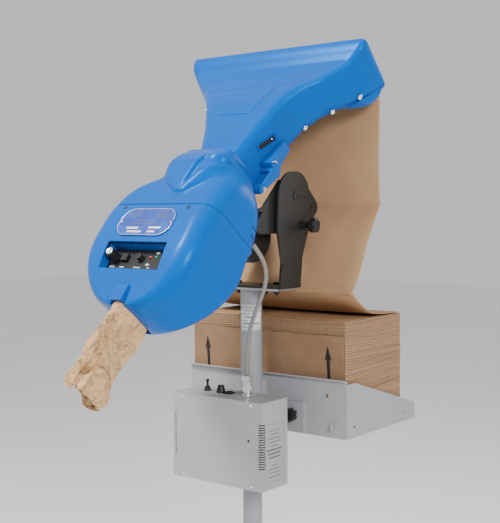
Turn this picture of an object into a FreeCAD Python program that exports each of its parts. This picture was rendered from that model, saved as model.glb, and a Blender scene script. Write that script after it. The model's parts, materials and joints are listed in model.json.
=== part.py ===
import FreeCAD, Part
import os
from math import cos, hypot, pi, radians, sin, sqrt, tan

# Paper void-fill converter on a column stand.  Millimetres, +Z up.
# Origin: on the floor, on the column's axis.  The operator stands at -Y, the paper pack is at +Y.

V = FreeCAD.Vector
os.makedirs("parts", exist_ok=True)

# ---------------------------------------------------------------- driving dimensions
PAPER_WIDTH = 380.0                 # 15 inch fan-fold paper
HALF_PAPER = PAPER_WIDTH / 2

BASE_X, BASE_Y, BASE_T = 560.0, 640.0, 10.0
ANCHOR_X, ANCHOR_Y, ANCHOR_R = 480.0, 560.0, 6.5
LOWER_TUBE_R, UPPER_TUBE_R, TUBE_WALL = 19.1, 21.2, 2.0
LOWER_TUBE_TOP = 985.0
UPPER_TUBE_BOTTOM, UPPER_TUBE_TOP = 836.0, 1191.0

FLANGE_T = 4.0                      # grey plate on the column
YOKE_T = 5.0                        # black bracket that holds the head
YOKE_HALF = 96.0                    # outer plane of its cheeks
YOKE_DEPTH = 33.0                   # half of its base, front to back
YOKE_BASE = UPPER_TUBE_TOP + FLANGE_T

PIVOT_Y, PIVOT_Z = 18.6, 1372.0     # the head tilts about this line, along X
PIVOT_R = 5.0
FEED_ANGLE = 50.0                   # feed axis above the horizontal at rest
CLAMP_Y, CLAMP_Z = 38.0, 1315.0     # stud of the tilt clamp
TILT_LIMIT = 25.0

BOX_X, BOX_FRONT, BOX_BACK = 109.6, -111.0, -31.7
BOX_BOTTOM, BOX_TOP = 827.0, 992.0
SHEET = 1.5                         # control box sheet steel
CONTROL_Y = -66.0                   # row of switches and sockets on the box
CONNECTOR_H = 39.0                  # height of the cable plug's top above the box

TRAY_X, TRAY_FRONT, TRAY_BACK = 195.6, 41.0, 303.0
TRAY_BOTTOM, TRAY_TOP = 908.0, 1019.0
TRAY_T = 2.5
TRAY_KNOB_X = 75.0
PACK_FRONT, PACK_BACK, PACK_TOP = 45.7, 255.4, 1131.8

# The head is drawn in its own frame: origin on the pivot, +Z along the feed axis towards the
# funnel, -Y towards the operator.  Its front stands at y = -205 and its rear wall at y = -60.
HEAD = FreeCAD.Placement(V(0, PIVOT_Y, PIVOT_Z),
                         FreeCAD.Rotation(V(1, 0, 0), FEED_ANGLE - 90))
HEAD_HALF = 127.0                   # half width of the covers
HEAD_REAR = -60.0
COVER_WALL = 3.0
SEAM_Z = -191.0                     # joint between the two covers
COVER_TOP, COVER_END = -72.0, -392.0
ROUND_START = -274.0                # below this the outline closes as an ellipse
ROUND_LENGTH = 121.0
OUTLET_X = 8.0                      # the outlet sits a little to the right of the middle
COVER_SHIFT = -328.0                # below this the cover's middle moves over to the outlet
SLOT_HALF, SLOT_FRONT, SLOT_BACK = 16.5, -185.0, -97.0

PANEL_X, PANEL_LOW, PANEL_HIGH, PANEL_Y = 70.0, -326.0, -275.0, -181.0

NIP_Z, NIP_Y = -229.0, -141.0       # where the paper is gripped
DRIVE_R, COUNTER_R, NIP_GAP = 28.0, 24.0, 2.0
DRIVE_Y = NIP_Y + NIP_GAP + DRIVE_R
COUNTER_Y = NIP_Y - NIP_GAP - COUNTER_R
ARM_PIVOT_Y, ARM_PIVOT_Z = -174.0, -180.0
MOTOR_Y, MOTOR_Z, MOTOR_R, MOTOR_HALF = -12.0, -107.0, 52.0, 58.0
BIG_PULLEY_R, SMALL_PULLEY_R, BELT_T = 36.0, 16.0, 3.0
BELT_X = -74.0
BELT_W = 10.0
FRAME_X = 60.0                      # inner face of the two side plates
CRADLE_X, CRADLE_T = 82.0, 3.0
CHASSIS_FRONT, CHASSIS_BACK = -65.5, -62.5
SCREW_Z = -199.0                    # two cover screws just under the seam

FUNNEL_WALL = 4.0
MOUTH_Z, MOUTH_LEAN = 256.0, -7.4   # the front of the mouth stands higher than its rear

CABLE_R = 4.0
# Hand-laid route of the cable from the head's gland to the plug on the control box.
CABLE_ROUTE = [(88.0, -107.8, 1283.8), (88.5, -90.4, 1269.2), (95.5, -76.0, 1240.0), (88.5, -69.0, 1203.0),
               (62.0, -64.5, 1158.0), (45.5, -64.8, 1117.0), (39.5, -65.6, 1073.5), (40.8, -66.0, 1031.0)]


# ---------------------------------------------------------------- helpers
def export(name, *shapes):
    """Write one node; several solids become one group."""
    solids = [solid for shape in shapes for solid in shape.Solids]
    shape = solids[0] if len(solids) == 1 else Part.makeCompound(solids)
    assert shape.isValid() and all(solid.Volume > 0 for solid in solids), name
    shape.exportStep("parts/" + name + ".step")
    return shape


def in_head(*shapes):
    """The same shapes, moved from the head's frame to the object's."""
    moved = []
    for shape in shapes:
        copy = shape.copy()
        copy.Placement = HEAD.multiply(copy.Placement)
        moved.append(copy)
    return moved


def block(x0, x1, y0, y1, z0, z1):
    return Part.makeBox(x1 - x0, y1 - y0, z1 - z0, V(x0, y0, z0))


def rod(radius, start, end):
    start, end = V(*start), V(*end)
    return Part.makeCylinder(radius, (end - start).Length, start, end - start)


def cone(radius_a, radius_b, start, end):
    start, end = V(*start), V(*end)
    return Part.makeCone(radius_a, radius_b, (end - start).Length, start, end - start)


def outline(points):
    """Closed wire in the YZ plane.  A point (y, z) ends a line; (via_y, via_z, y, z) ends an arc."""
    start = V(0, *points[0])
    here, edges = start, []
    for point in points[1:] + [points[0]]:
        end = V(0, *point[-2:])
        if len(point) == 4:
            edges.append(Part.Arc(here, V(0, *point[:2]), end).toShape())
        elif (end - here).Length > 1e-6:
            edges.append(Part.LineSegment(here, end).toShape())
        here = end
    return Part.Wire(edges)


def plate(points, x0, x1):
    """A YZ outline pulled from x0 to x1."""
    face = Part.Face(outline(points))
    face.translate(V(x0, 0, 0))
    return face.extrude(V(x1 - x0, 0, 0))


def rounded_ring(half_front, half_back, front, back, radius, z, centre=0.0, back_radius=None):
    """Closed wire across the feed axis: four sides with round corners, front at -Y."""
    corners = [V(centre + half_back, back, z), V(centre - half_back, back, z),
               V(centre - half_front, front, z), V(centre + half_front, front, z)]
    limit = min(half_front, half_back, (back - front) / 2) - 0.5
    radii = [min(r, limit) for r in (back_radius or radius, back_radius or radius, radius, radius)]
    fillets = []
    for index, corner in enumerate(corners):
        into = (corner - corners[index - 1]).normalize()
        out = (corners[(index + 1) % 4] - corner).normalize()
        turn, radius = into.getAngle(out), radii[index]
        inward = (out - into).normalize()
        setback = radius * tan(turn / 2)
        middle = corner + inward * (radius / cos(turn / 2) - radius)
        fillets.append((corner - into * setback, middle, corner + out * setback))
    edges = []
    for index, (start, middle, end) in enumerate(fillets):
        edges.append(Part.Arc(start, middle, end).toShape())
        edges.append(Part.LineSegment(end, fillets[(index + 1) % 4][0]).toShape())
    return Part.Wire(edges)


def loft(rings, ruled=False):
    return Part.makeLoft(rings, True, ruled)


def both_sides(shape):
    """The shape and its mirror image across the X = 0 plane."""
    return shape, shape.mirror(V(0, 0, 0), V(1, 0, 0))


def fused(shape, *others):
    return shape.fuse(list(others)).removeSplitter()


def lobed_knob(radius, lobes, thickness):
    """A star grip on the Z axis, from z = 0 up, with a shallow dome on top."""
    body = Part.makeCylinder(radius, thickness)
    cutter_r = radius * 0.34
    for index in range(lobes):
        angle = 2 * pi * index / lobes
        at = V(cos(angle) * radius * 1.12, sin(angle) * radius * 1.12, -1)
        body = body.cut(Part.makeCylinder(cutter_r, thickness + 2, at))
    body = body.common(Part.makeSphere(radius * 2.2, V(0, 0, thickness - radius * 2.1)))
    return body


def aimed(shape, at, direction):
    """A shape drawn on +Z from the origin, turned to point along a direction from a place."""
    copy = shape.copy()
    copy.Placement = FreeCAD.Placement(V(*at), FreeCAD.Rotation(V(0, 0, 1), V(*direction)))
    return copy


def screw(at, direction, head_r, head_h, length, shank_r):
    """Domed head outside the surface at a point, shank going in."""
    head = Part.makeCylinder(head_r, head_h)
    head = head.common(Part.makeSphere(head_r * 1.6, V(0, 0, head_h - head_r * 1.6)))
    drive = Part.makeCylinder(head_r * 0.3, head_h, V(0, 0, head_h * 0.6))
    shank = Part.makeCylinder(shank_r, length, V(0, 0, -length))
    return aimed(fused(head.cut(drive), shank), at, direction)


# ---------------------------------------------------------------- floor plate and column
def base():
    floor_plate = block(-BASE_X / 2, BASE_X / 2, -BASE_Y / 2, BASE_Y / 2, 0, BASE_T)
    upright = [e for e in floor_plate.Edges if abs(e.tangentAt(0).z) > 0.9]
    floor_plate = floor_plate.makeFillet(40, upright)
    for sx in (-1, 1):
        for sy in (-1, 1):
            at = V(sx * ANCHOR_X / 2, sy * ANCHOR_Y / 2, -1)
            floor_plate = floor_plate.cut(Part.makeCylinder(ANCHOR_R, BASE_T + 2, at))
    flange = Part.makeCylinder(70, 10, V(0, 0, BASE_T))
    flange = flange.fuse(Part.makeCylinder(26, 80, V(0, 0, BASE_T)))
    rib = plate([(24, BASE_T + 8), (66, BASE_T + 8), (66, BASE_T + 14), (30, BASE_T + 68),
                 (24, BASE_T + 68)], -3, 3)
    for index in range(4):
        turned = rib.copy()
        turned.rotate(V(0, 0, 0), V(0, 0, 1), 90 * index)
        flange = flange.fuse(turned)
    flange = flange.cut(Part.makeCylinder(LOWER_TUBE_R, 100, V(0, 0, BASE_T)))
    export("stand_base", fused(floor_plate, flange))

    tube = Part.makeCylinder(LOWER_TUBE_R, LOWER_TUBE_TOP - BASE_T, V(0, 0, BASE_T))
    bore = Part.makeCylinder(LOWER_TUBE_R - TUBE_WALL, LOWER_TUBE_TOP, V(0, 0, BASE_T + 5))
    export("lower_column", tube.cut(bore))


def mast():
    height = UPPER_TUBE_TOP - UPPER_TUBE_BOTTOM
    tube = Part.makeCylinder(UPPER_TUBE_R, height, V(0, 0, UPPER_TUBE_BOTTOM))
    bore = Part.makeCylinder(LOWER_TUBE_R + 0.08, height + 2, V(0, 0, UPPER_TUBE_BOTTOM - 1))
    export("upper_column", tube.cut(bore))

    low, high, outer = UPPER_TUBE_BOTTOM + 4, UPPER_TUBE_BOTTOM + 34, UPPER_TUBE_R + 6
    collar = Part.makeCylinder(outer, high - low, V(0, 0, low))
    collar = collar.fuse(block(-12, 12, outer - 4, outer + 22, low, high))
    collar = collar.cut(Part.makeCylinder(UPPER_TUBE_R, 40, V(0, 0, low - 1)))
    collar = collar.cut(block(-1.5, 1.5, UPPER_TUBE_R - 2, outer + 30, low - 1, high + 1))
    screw_y, middle = outer + 13, (low + high) / 2
    collar = collar.cut(rod(4.1, (-20, screw_y, middle), (20, screw_y, middle)))
    export("column_clamp_collar", collar.removeSplitter())
    stud = rod(4, (-18, screw_y, middle), (29, screw_y, middle))
    nut = rod(7, (-18, screw_y, middle), (-12.4, screw_y, middle))
    grip = aimed(lobed_knob(17, 5, 18), (17, screw_y, middle), (1, 0, 0))
    grip = fused(grip, rod(9, (12.4, screw_y, middle), (19, screw_y, middle)))
    export("column_clamp_knob", fused(grip, stud, nut))

    flange = block(-87, 87, -YOKE_DEPTH, YOKE_DEPTH, UPPER_TUBE_TOP, YOKE_BASE)
    yoke_holes, bolts = [], []
    for sx in (-1, 1):
        for sy in (-1, 1):
            x, y = sx * 47, sy * 20
            yoke_holes.append(Part.makeCylinder(4.2, 30, V(x, y, UPPER_TUBE_TOP - 10)))
            top, under = YOKE_BASE + YOKE_T, UPPER_TUBE_TOP
            bolt = Part.makeCylinder(4, top - under + 16, V(x, y, under - 12))
            head = Part.makeCylinder(7, 4, V(x, y, top))
            nut = Part.makeCylinder(7.5, 7, V(x, y, under - 7))
            bolts.append(fused(bolt, head, nut))
    for hole in yoke_holes:
        flange = flange.cut(hole)
    export("top_flange", flange)
    yoke(yoke_holes, bolts)


def yoke(base_holes, base_bolts):
    b = YOKE_BASE
    low = b + 4
    cheek_points = [(-YOKE_DEPTH, b), (-YOKE_DEPTH, low), (-27, b + 50), (-40, b + 112), (-37, b + 181),
                    (-20.5, b + 211, 12, b + 223), (46, b + 214, 62, b + 190), (87, b + 166),
                    (91, b + 155, 87, b + 144), (72, b + 129), (58, b + 105), (39, b + 58),
                    (YOKE_DEPTH, low), (YOKE_DEPTH, b)]
    right = plate(cheek_points, YOKE_HALF - YOKE_T, YOKE_HALF)
    left = plate(cheek_points, -YOKE_HALF, -YOKE_HALF + YOKE_T)
    bottom = block(-YOKE_HALF, YOKE_HALF, -YOKE_DEPTH, YOKE_DEPTH, b, b + YOKE_T)
    body = fused(bottom, left, right)
    for y, z, r in ((PIVOT_Y, PIVOT_Z, PIVOT_R + 0.05), (66, PIVOT_Z - 23, 4.5)):
        body = body.cut(rod(r, (-120, y, z), (120, y, z)))
    body = body.cut(rod(5.3, (0, CLAMP_Y, CLAMP_Z), (120, CLAMP_Y, CLAMP_Z)))
    for hole in base_holes:
        body = body.cut(hole)
    export("yoke", body)

    pins = []
    for sx in (-1, 1):
        shank = rod(PIVOT_R, (sx * (CRADLE_X - 4), PIVOT_Y, PIVOT_Z), (sx * YOKE_HALF, PIVOT_Y, PIVOT_Z))
        pins.append(fused(shank, screw((sx * YOKE_HALF, PIVOT_Y, PIVOT_Z), (sx, 0, 0), 8.5, 4.5, 2, 4)))
    export("yoke_bolts", *pins, *base_bolts)

    stud = rod(4.9, (CRADLE_X - 5, CLAMP_Y, CLAMP_Z), (YOKE_HALF + 30, CLAMP_Y, CLAMP_Z))
    head = rod(9, (CRADLE_X - 7, CLAMP_Y, CLAMP_Z), (CRADLE_X - 1.5, CLAMP_Y, CLAMP_Z))
    grip = aimed(lobed_knob(14.5, 5, 12), (YOKE_HALF + 23, CLAMP_Y, CLAMP_Z), (1, 0, 0))
    grip = fused(grip, rod(6, (YOKE_HALF + 0.6, CLAMP_Y, CLAMP_Z), (YOKE_HALF + 25, CLAMP_Y, CLAMP_Z)),
                 rod(9.5, (YOKE_HALF + 0.6, CLAMP_Y, CLAMP_Z), (YOKE_HALF + 8, CLAMP_Y, CLAMP_Z)))
    export("tilt_clamp_knob", fused(grip, stud, head))


# ---------------------------------------------------------------- control box
def control_box():
    x, y0, y1, z0, z1, t = BOX_X, BOX_FRONT, BOX_BACK, BOX_BOTTOM, BOX_TOP, SHEET
    shell = block(-x + t, x - t, y0 + t, y1, z0, z1).cut(block(-x, x, y0, y1 - t, z0 + t, z1 - t))
    holes = [(-58.6, 6.1), (-24.4, 7.1), (-4.0, 8.1), (40.8, 9.1)]
    for hole_x, hole_r in holes:
        shell = shell.cut(Part.makeCylinder(hole_r, 10, V(hole_x, CONTROL_Y, z1 - 5)))
    shell = shell.cut(block(-24, 24, -75, -45, z0 - 1, z0 + t + 1))
    cover = block(-x, x, y0, y1, z0, z1).cut(block(-x + t, x - t, y0 + t, y1 + 1, z0 - 1, z1 + 1))
    slots, slot_pitch, slot_gap = 19, 4.5, 2.2
    slot_low = (z0 + z1) / 2 - slot_pitch * (slots - 1) / 2
    for sx in (-1, 1):
        for index in range(slots):
            z = slot_low + slot_pitch * index
            x_in, x_out = sorted((sx * (x - 9), sx * (x + 1)))
            cover = cover.cut(block(x_in, x_out, y0 - 1, y0 + 11, z, z + slot_gap))
    export("box_cover", cover)

    screws = []
    for sx in (-1, 1):
        for z in (z0 + 8, z1 - 5):
            screws.append(screw((sx * 84, y0, z), (0, -1, 0), 3.4, 1.8, t, 1.4))
    export("box_screws", *screws)

    strap_low, strap_high = 874.0, 908.0
    strap = Part.makeCylinder(UPPER_TUBE_R + 3, strap_high - strap_low, V(0, 0, strap_low))
    ears = block(-45, 45, BOX_BACK, BOX_BACK + 4, strap_low, strap_high)
    strap = strap.fuse([ears, block(-18, 18, BOX_BACK, -10, strap_low, strap_high)])
    strap = strap.cut(Part.makeCylinder(UPPER_TUBE_R, 80, V(0, 0, strap_low - 5)))
    export("box_chassis", fused(shell, strap))

    core = block(35, 95, BOX_BACK - 60, BOX_BACK - t, z0 + t, z0 + 50)
    coil = rod(24, (65, BOX_BACK - 32, z0 + 50), (65, BOX_BACK - 32, z0 + 62))
    board = block(-90, 36, BOX_BACK - 8, BOX_BACK - t, z0 + t, z0 + 110)
    choke = block(-80, -50, BOX_BACK - 26, BOX_BACK - 8, z0 + 60, z0 + 90)
    capacitors = [rod(8, (cx, BOX_BACK - 8, z0 + 70), (cx, BOX_BACK - 34, z0 + 70)) for cx in (-30, -8)]
    export("power_supply", fused(core, coil, board, choke, *capacitors))

    inlet = block(-23.5, 23.5, -74.5, -45.5, z0 - 3, z0 + 24)
    inlet = inlet.cut(block(-13, 13, -69, -51, z0 - 4, z0 + 16))
    pins = [block(px - 1, px + 1, -61, -59, z0 + 2, z0 + 16.2) for px in (-7, 0, 7)]
    export("power_inlet", fused(inlet, *pins))


def box_top_controls():
    z, y = BOX_TOP, CONTROL_Y
    switch = fused(Part.makeCylinder(6, 9, V(-58.6, y, z - 8)), block(-66, -51, y - 7, y + 7, z - 30, z - 8))
    boot = cone(7.5, 4.6, (-58.6, y, z), (-58.6, y, z + 9))
    boot = boot.cut(cone(6.2, 3.9, (-58.6, y, z + 1.9), (-58.6, y, z + 9.01)))
    export("toggle_switch_body", switch)
    export("switch_boot", boot.cut(Part.makeCylinder(3.9, 10, V(-58.6, y, z + 1))).cut(
        Part.makeCylinder(6.0, 2, V(-58.6, y, z))))
    lever = cone(1.7, 2.3, (-58.6, y, z + 2.5), (-58.6, y, z + 18))
    lever = lever.fuse(rod(1.2, (-61, y, z + 2.5), (-56.2, y, z + 2.5)))
    export("toggle_lever", fused(lever, Part.makeSphere(3.4, V(-58.6, y, z + 20))))

    fuse_x = -24.4
    holder = fused(Part.makeCylinder(7, 26, V(fuse_x, y, z - 25)), Part.makeCylinder(9, 2, V(fuse_x, y, z)))
    export("fuse_holder", holder)
    cap = cone(8.6, 6.2, (fuse_x, y, z + 2.3), (fuse_x, y, z + 14))
    cap = cap.cut(block(fuse_x - 1, fuse_x + 1, y - 5, y + 5, z + 12.6, z + 15))
    export("fuse_cap", cap)

    pedal_x = -4.0
    flange = fused(block(pedal_x - 9, pedal_x + 9, y - 9, y + 9, z, z + 2),
                   Part.makeCylinder(8, 20, V(pedal_x, y, z - 16)))
    flange = flange.cut(Part.makeCylinder(5, 12, V(pedal_x, y, z - 6)))
    export("pedal_socket", flange)

    plug_x = 40.8
    receptacle = fused(block(plug_x - 13, plug_x + 13, y - 13, y + 13, z, z + 2.5),
                       Part.makeCylinder(9, 28, V(plug_x, y, z - 18)))
    export("connector_receptacle", receptacle)
    ring = Part.makeCylinder(12, 10, V(plug_x, y, z + 10))
    ring = fused(ring, Part.makeCylinder(9.5, 8, V(plug_x, y, z + 20)))
    clamp = block(plug_x - 9, plug_x + 9, y - 6, y + 6, z + 28, z + CONNECTOR_H)
    export("connector_plug", fused(ring, clamp))


# ---------------------------------------------------------------- tray, pack and web
def tray():
    x, y0, y1, z0, z1, t = TRAY_X, TRAY_FRONT, TRAY_BACK, TRAY_BOTTOM, TRAY_TOP, TRAY_T
    floor = block(-x, x, y0, y1, z0, z0 + t)
    front = block(-x, x, y0, y0 + t, z0, z1)
    lip = plate([(y0, z1 - 3), (y0 - 9, z1 + 1), (y0 - 9, z1 + 3.5), (y0, z1), (y0 + t, z1)], -x, x)
    side = plate([(y0, z0), (y1 - 6, z0), (y1 - 2, z0 + 2, y1, z0 + 6), (y1, z0 + 24),
                  (y1 - 2, z0 + 32, y1 - 10, z0 + 36), (72, z1 - 6), (y0, z1 - 6)], x - t, x)
    hook = [rod(2.5, (x - 30, y0 + 0.5, z0 + 18), (x - 30, y0 - 10, z0 + 18)),
            rod(2.5, (x - 30, y0 - 8, z0 + 18), (x - 30, y0 - 8, z0 + 28))]
    body = fused(floor, front, lip, *both_sides(side), *hook)
    holes = [rod(4, (150, y0 - 2, z0 + 80), (150, y0 + 4, z0 + 80)),
             rod(3, (-220, 262, z0 + 19), (220, 262, z0 + 19)),
             rod(3, (-220, 69, z0 + 21), (220, 69, z0 + 21)),
             rod(4.2, (TRAY_KNOB_X, y0 - 2, z0 + 37), (TRAY_KNOB_X, y0 + 4, z0 + 37))]
    for hole in holes:
        body = body.cut(hole)
    export("tray", body)

    plate_front = 35.0
    bracket = block(-100, 100, plate_front, TRAY_FRONT, z0 + 2, z0 + 62)
    saddle = fused(Part.makeCylinder(UPPER_TUBE_R + 5, 50, V(0, 0, z0 + 7)),
                   block(-26, 26, 0, plate_front, z0 + 7, z0 + 57))
    saddle = saddle.cut(Part.makeCylinder(UPPER_TUBE_R, 60, V(0, 0, z0)))
    bracket = bracket.fuse(saddle)
    bracket = bracket.cut(rod(4.2, (TRAY_KNOB_X, 30, z0 + 37), (TRAY_KNOB_X, 50, z0 + 37)))
    export("tray_bracket", bracket.removeSplitter())
    grip = aimed(lobed_knob(13, 6, 14), (TRAY_KNOB_X, plate_front - 4, z0 + 37), (0, -1, 0))
    neck = rod(8, (TRAY_KNOB_X, plate_front - 0.4, z0 + 37), (TRAY_KNOB_X, plate_front - 5, z0 + 37))
    stud = rod(3.9, (TRAY_KNOB_X, plate_front - 1, z0 + 37), (TRAY_KNOB_X, y0 + t, z0 + 37))
    export("tray_knob", fused(grip, neck, stud))


def paper_pack():
    z0 = TRAY_BOTTOM + TRAY_T
    wrap_front, card = TRAY_FRONT + TRAY_T + 0.2, 1.6
    export("paper_pack", block(-HALF_PAPER, HALF_PAPER, PACK_FRONT, PACK_BACK, z0 + card + 0.4, PACK_TOP))
    front = block(-HALF_PAPER + 2, HALF_PAPER - 3, wrap_front, wrap_front + card, z0 + 0.1, PACK_TOP - 26)
    bottom = block(-HALF_PAPER + 2, HALF_PAPER - 3, wrap_front, PACK_BACK + 2, z0 + 0.1, z0 + card)
    back = block(-HALF_PAPER + 2, HALF_PAPER - 3, PACK_BACK + 0.4, PACK_BACK + 2, z0 + 0.1, PACK_TOP - 60)
    export("pack_wrap", fused(front, bottom, back))


def paper_web():
    """One flat web: folded panels from the pack to the funnel's lip, then down the funnel."""
    z = PIVOT_Z - 22
    path = [(252, z - 216.6), (172, z - 215), (140, z - 211), (113, z - 198), (90, z - 183),
            (63, z - 165), (81, z - 144), (98, z - 115), (118, z - 74), (135, z - 45), (153, z - 17),
            (170, z + 5), (166, z + 32), (166, z + 199), (164.5, z + 222), (160, z + 236), (150, z + 240.5),
            (137, z + 236)]
    ply = 0.9
    back = [V(0, y, zz) for y, zz in path]
    front = []
    for index, point in enumerate(back):
        before = back[max(index - 1, 0)]
        after = back[min(index + 1, len(back) - 1)]
        along = (after - before).normalize()
        front.append(point + V(0, along.z, -along.y) * ply)
    outside = plate([(p.y, p.z) for p in back] + [(p.y, p.z) for p in reversed(front)],
                    -HALF_PAPER, HALF_PAPER)
    inside = [(186, -46, 236), (140, -62, 180), (86, -72, 110), (40, -78, -18), (20, -84, -78)]
    rings = []
    for half, y, zz in inside:
        corners = [V(-half, y, zz), V(half, y, zz), V(half, y - ply, zz), V(-half, y - ply, zz)]
        rings.append(Part.makePolygon(corners + corners[:1]))
    export("paper_web", outside, *in_head(loft(rings, True)))


# ---------------------------------------------------------------- head covers
def cover_half_width(z):
    """Straight sides, then an ellipse that closes round the outlet."""
    if z >= ROUND_START:
        return HEAD_HALF
    return HEAD_HALF * sqrt(1 - ((ROUND_START - z) / ROUND_LENGTH) ** 2)


def cover_rings(sections, inset):
    """Rings across a cover; near its end they move over towards the outlet."""
    return [rounded_ring(half - inset, half - inset, front + inset, back - inset, radius - inset * 0.6, z,
                         OUTLET_X * max(0, (COVER_SHIFT - z) / (COVER_SHIFT - COVER_END)),
                         back_radius=min(14, radius))
            for z, half, front, back, radius in sections]


def outlet_block(half_x, y0, y1, z0, z1):
    return block(OUTLET_X - half_x, OUTLET_X + half_x, y0, y1, z0, z1)


def lower_cover():
    profile = [(SEAM_Z, -203, -62, 32), (-239, -207, -59, 32), (-280, -205, -61, 32),
               (-312, -199, -68, 32), (-342, -192, -76, 30), (-366, -188, -84, 26),
               (-382, -186, -90, 20), (COVER_END, -185, -95, 14)]
    sections = [(z, cover_half_width(z), front, back, radius) for z, front, back, radius in profile]
    outer = loft(cover_rings(sections, 0))
    inner_sections = list(sections)
    inner_sections[0] = (SEAM_Z + 4,) + sections[0][1:]
    last = sections[-1]
    inner_sections[-1] = (COVER_END + COVER_WALL,) + (last[1] + 4,) + last[2:]
    shell = outer.cut(loft(cover_rings(inner_sections, COVER_WALL)))
    wall = 3
    tub = block(-PANEL_X - wall, PANEL_X + wall, -196, PANEL_Y + 4, PANEL_LOW - wall, PANEL_HIGH + wall)
    shell = shell.fuse(tub.common(outer))
    shell = shell.cut(block(-PANEL_X, PANEL_X, -230, PANEL_Y + 6, PANEL_LOW, PANEL_HIGH))
    shell = shell.cut(block(-104, 104, -76, -40, -298, SEAM_Z + 1))
    nose = outlet_block(14, -194, -184.5, -388, -357).cut(outlet_block(11, -191, -180, -392, -361))
    shell = shell.fuse(nose).cut(outlet_block(SLOT_HALF, SLOT_FRONT, SLOT_BACK, -400, -366))
    for sx in (-1, 1):
        shell = shell.cut(rod(4.2, (sx * 75, -215, SCREW_Z), (sx * 75, -201.5, SCREW_Z)))
    shell = max(shell.Solids, key=lambda solid: solid.Volume)
    export("lower_cover", *in_head(shell))


def upper_cover(funnel_core):
    """Tapered shell with a raised hump over the middle and right of its front."""
    gap = 0.4
    sections = [(SEAM_Z + gap, 127, -203, -62, 32), (-160, 126.5, -198, -64, 40), (-125, 125, -188, -72, 48),
                (-102, 122, -179, -84, 50), (-86, 114, -170, -95, 50), (COVER_TOP, 97, -160, -107, 44)]
    hump = [(-152, 12, 25, -198, 8), (-120, 50, 24, -208, 22), (-94, 60, 26, -211, 26),
            (-68, 60, 34, -200, 28), (-50, 46, 38, -185, 24)]
    inner_sections = list(sections)
    inner_sections[0] = (SEAM_Z - 4,) + sections[0][1:]
    inner_sections[-1] = (COVER_TOP - COVER_WALL,) + sections[-1][1:]

    def hump_solid(inset, top):
        rings = [rounded_ring(half - inset, half - inset, front + inset, -122, max(radius - inset, 2),
                              z, centre) for z, half, centre, front, radius in hump]
        rings[-1].translate(V(0, 0, -top))
        return loft(rings, True)

    outer = loft(cover_rings(sections, 0)).fuse(hump_solid(0, 0))
    inner = loft(cover_rings(inner_sections, COVER_WALL)).fuse(hump_solid(COVER_WALL, COVER_WALL))
    shell = outer.cut(inner)
    shell = shell.cut(block(-104, 104, -90, -40, SEAM_Z - 5, -106))
    shell = shell.cut(funnel_core)
    shell = max(shell.Solids, key=lambda solid: solid.Volume)
    export("upper_cover", *in_head(shell))


def head_trim():
    screws = [screw((sx * 75, -203.8, SCREW_Z), (0, -1, 0), 3.8, 2.2, 7, 1.6) for sx in (-1, 1)]
    export("cover_screws", *in_head(*screws))
    data_plate = block(-66, 62, -208.6, -207.4, -264, -204)
    corners = [e for e in data_plate.Edges if abs(e.tangentAt(0).y) > 0.9]
    export("data_plate", *in_head(data_plate.makeFillet(26, corners)))

    panel = block(-PANEL_X + 0.2, PANEL_X - 0.2, PANEL_Y, PANEL_Y + 3, PANEL_LOW + 0.2, PANEL_HIGH - 0.2)
    for x, z, r in ((-57, -295, 3.4), (3, -294, 6.3), (25, -291, 2.6), (38, -290, 2.6)):
        panel = panel.cut(rod(r, (x, -190, z), (x, -170, z)))
    panel = panel.cut(block(-40.4, -25.6, -190, -170, -302.4, -287.6))
    bezel = rod(8.5, (3, PANEL_Y - 2.5, -294), (3, PANEL_Y, -294))
    panel = fused(panel, bezel.cut(rod(6.3, (3, -200, -294), (3, -170, -294))))
    export("control_panel", *in_head(panel))
    lamps = []
    for x, z in ((25, -291), (38, -290)):
        lens = rod(2.6, (x, PANEL_Y + 6, z), (x, PANEL_Y - 1, z))
        lamps.append(fused(lens, Part.makeSphere(2.6, V(x, PANEL_Y - 1, z))))
    export("panel_lamps", *in_head(*lamps))

    board = block(-66, 66, -172, -170, PANEL_LOW + 2, PANEL_HIGH - 2)
    potentiometer = rod(8, (-57, -177.4, -295), (-57, -172, -295))
    switch_body = block(-40, -26, -175.5, -172, -302, -288)
    reset_body = rod(7, (3, -174, -294), (3, -172, -294))
    export("panel_board", *in_head(fused(board, potentiometer, switch_body, reset_body)))

    dial = Part.makeCylinder(11.5, 3).fuse(Part.makeCone(9.8, 8.6, 15, V(0, 0, 3)))
    for index in range(18):
        angle = 2 * pi * index / 18
        dial = dial.cut(Part.makeCylinder(0.8, 16, V(10.2 * cos(angle), 10.2 * sin(angle), 4)))
    shaft = Part.makeCylinder(3, 4.6, V(0, 0, -4.2))
    dial = aimed(fused(dial, shaft), (-57, PANEL_Y - 1, -295), (0, -1, 0))
    cap = aimed(Part.makeCone(8.6, 7.6, 2.5), (-57, PANEL_Y - 19, -295), (0, -1, 0))
    export("speed_knob", *in_head(fused(dial, cap)))
    export("feed_button", *in_head(block(-40, -26, PANEL_Y - 6, PANEL_Y + 2, -302, -288)))
    reset = fused(rod(6, (3, PANEL_Y - 9, -294), (3, PANEL_Y + 3, -294)))
    export("reset_button", *in_head(reset))


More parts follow.
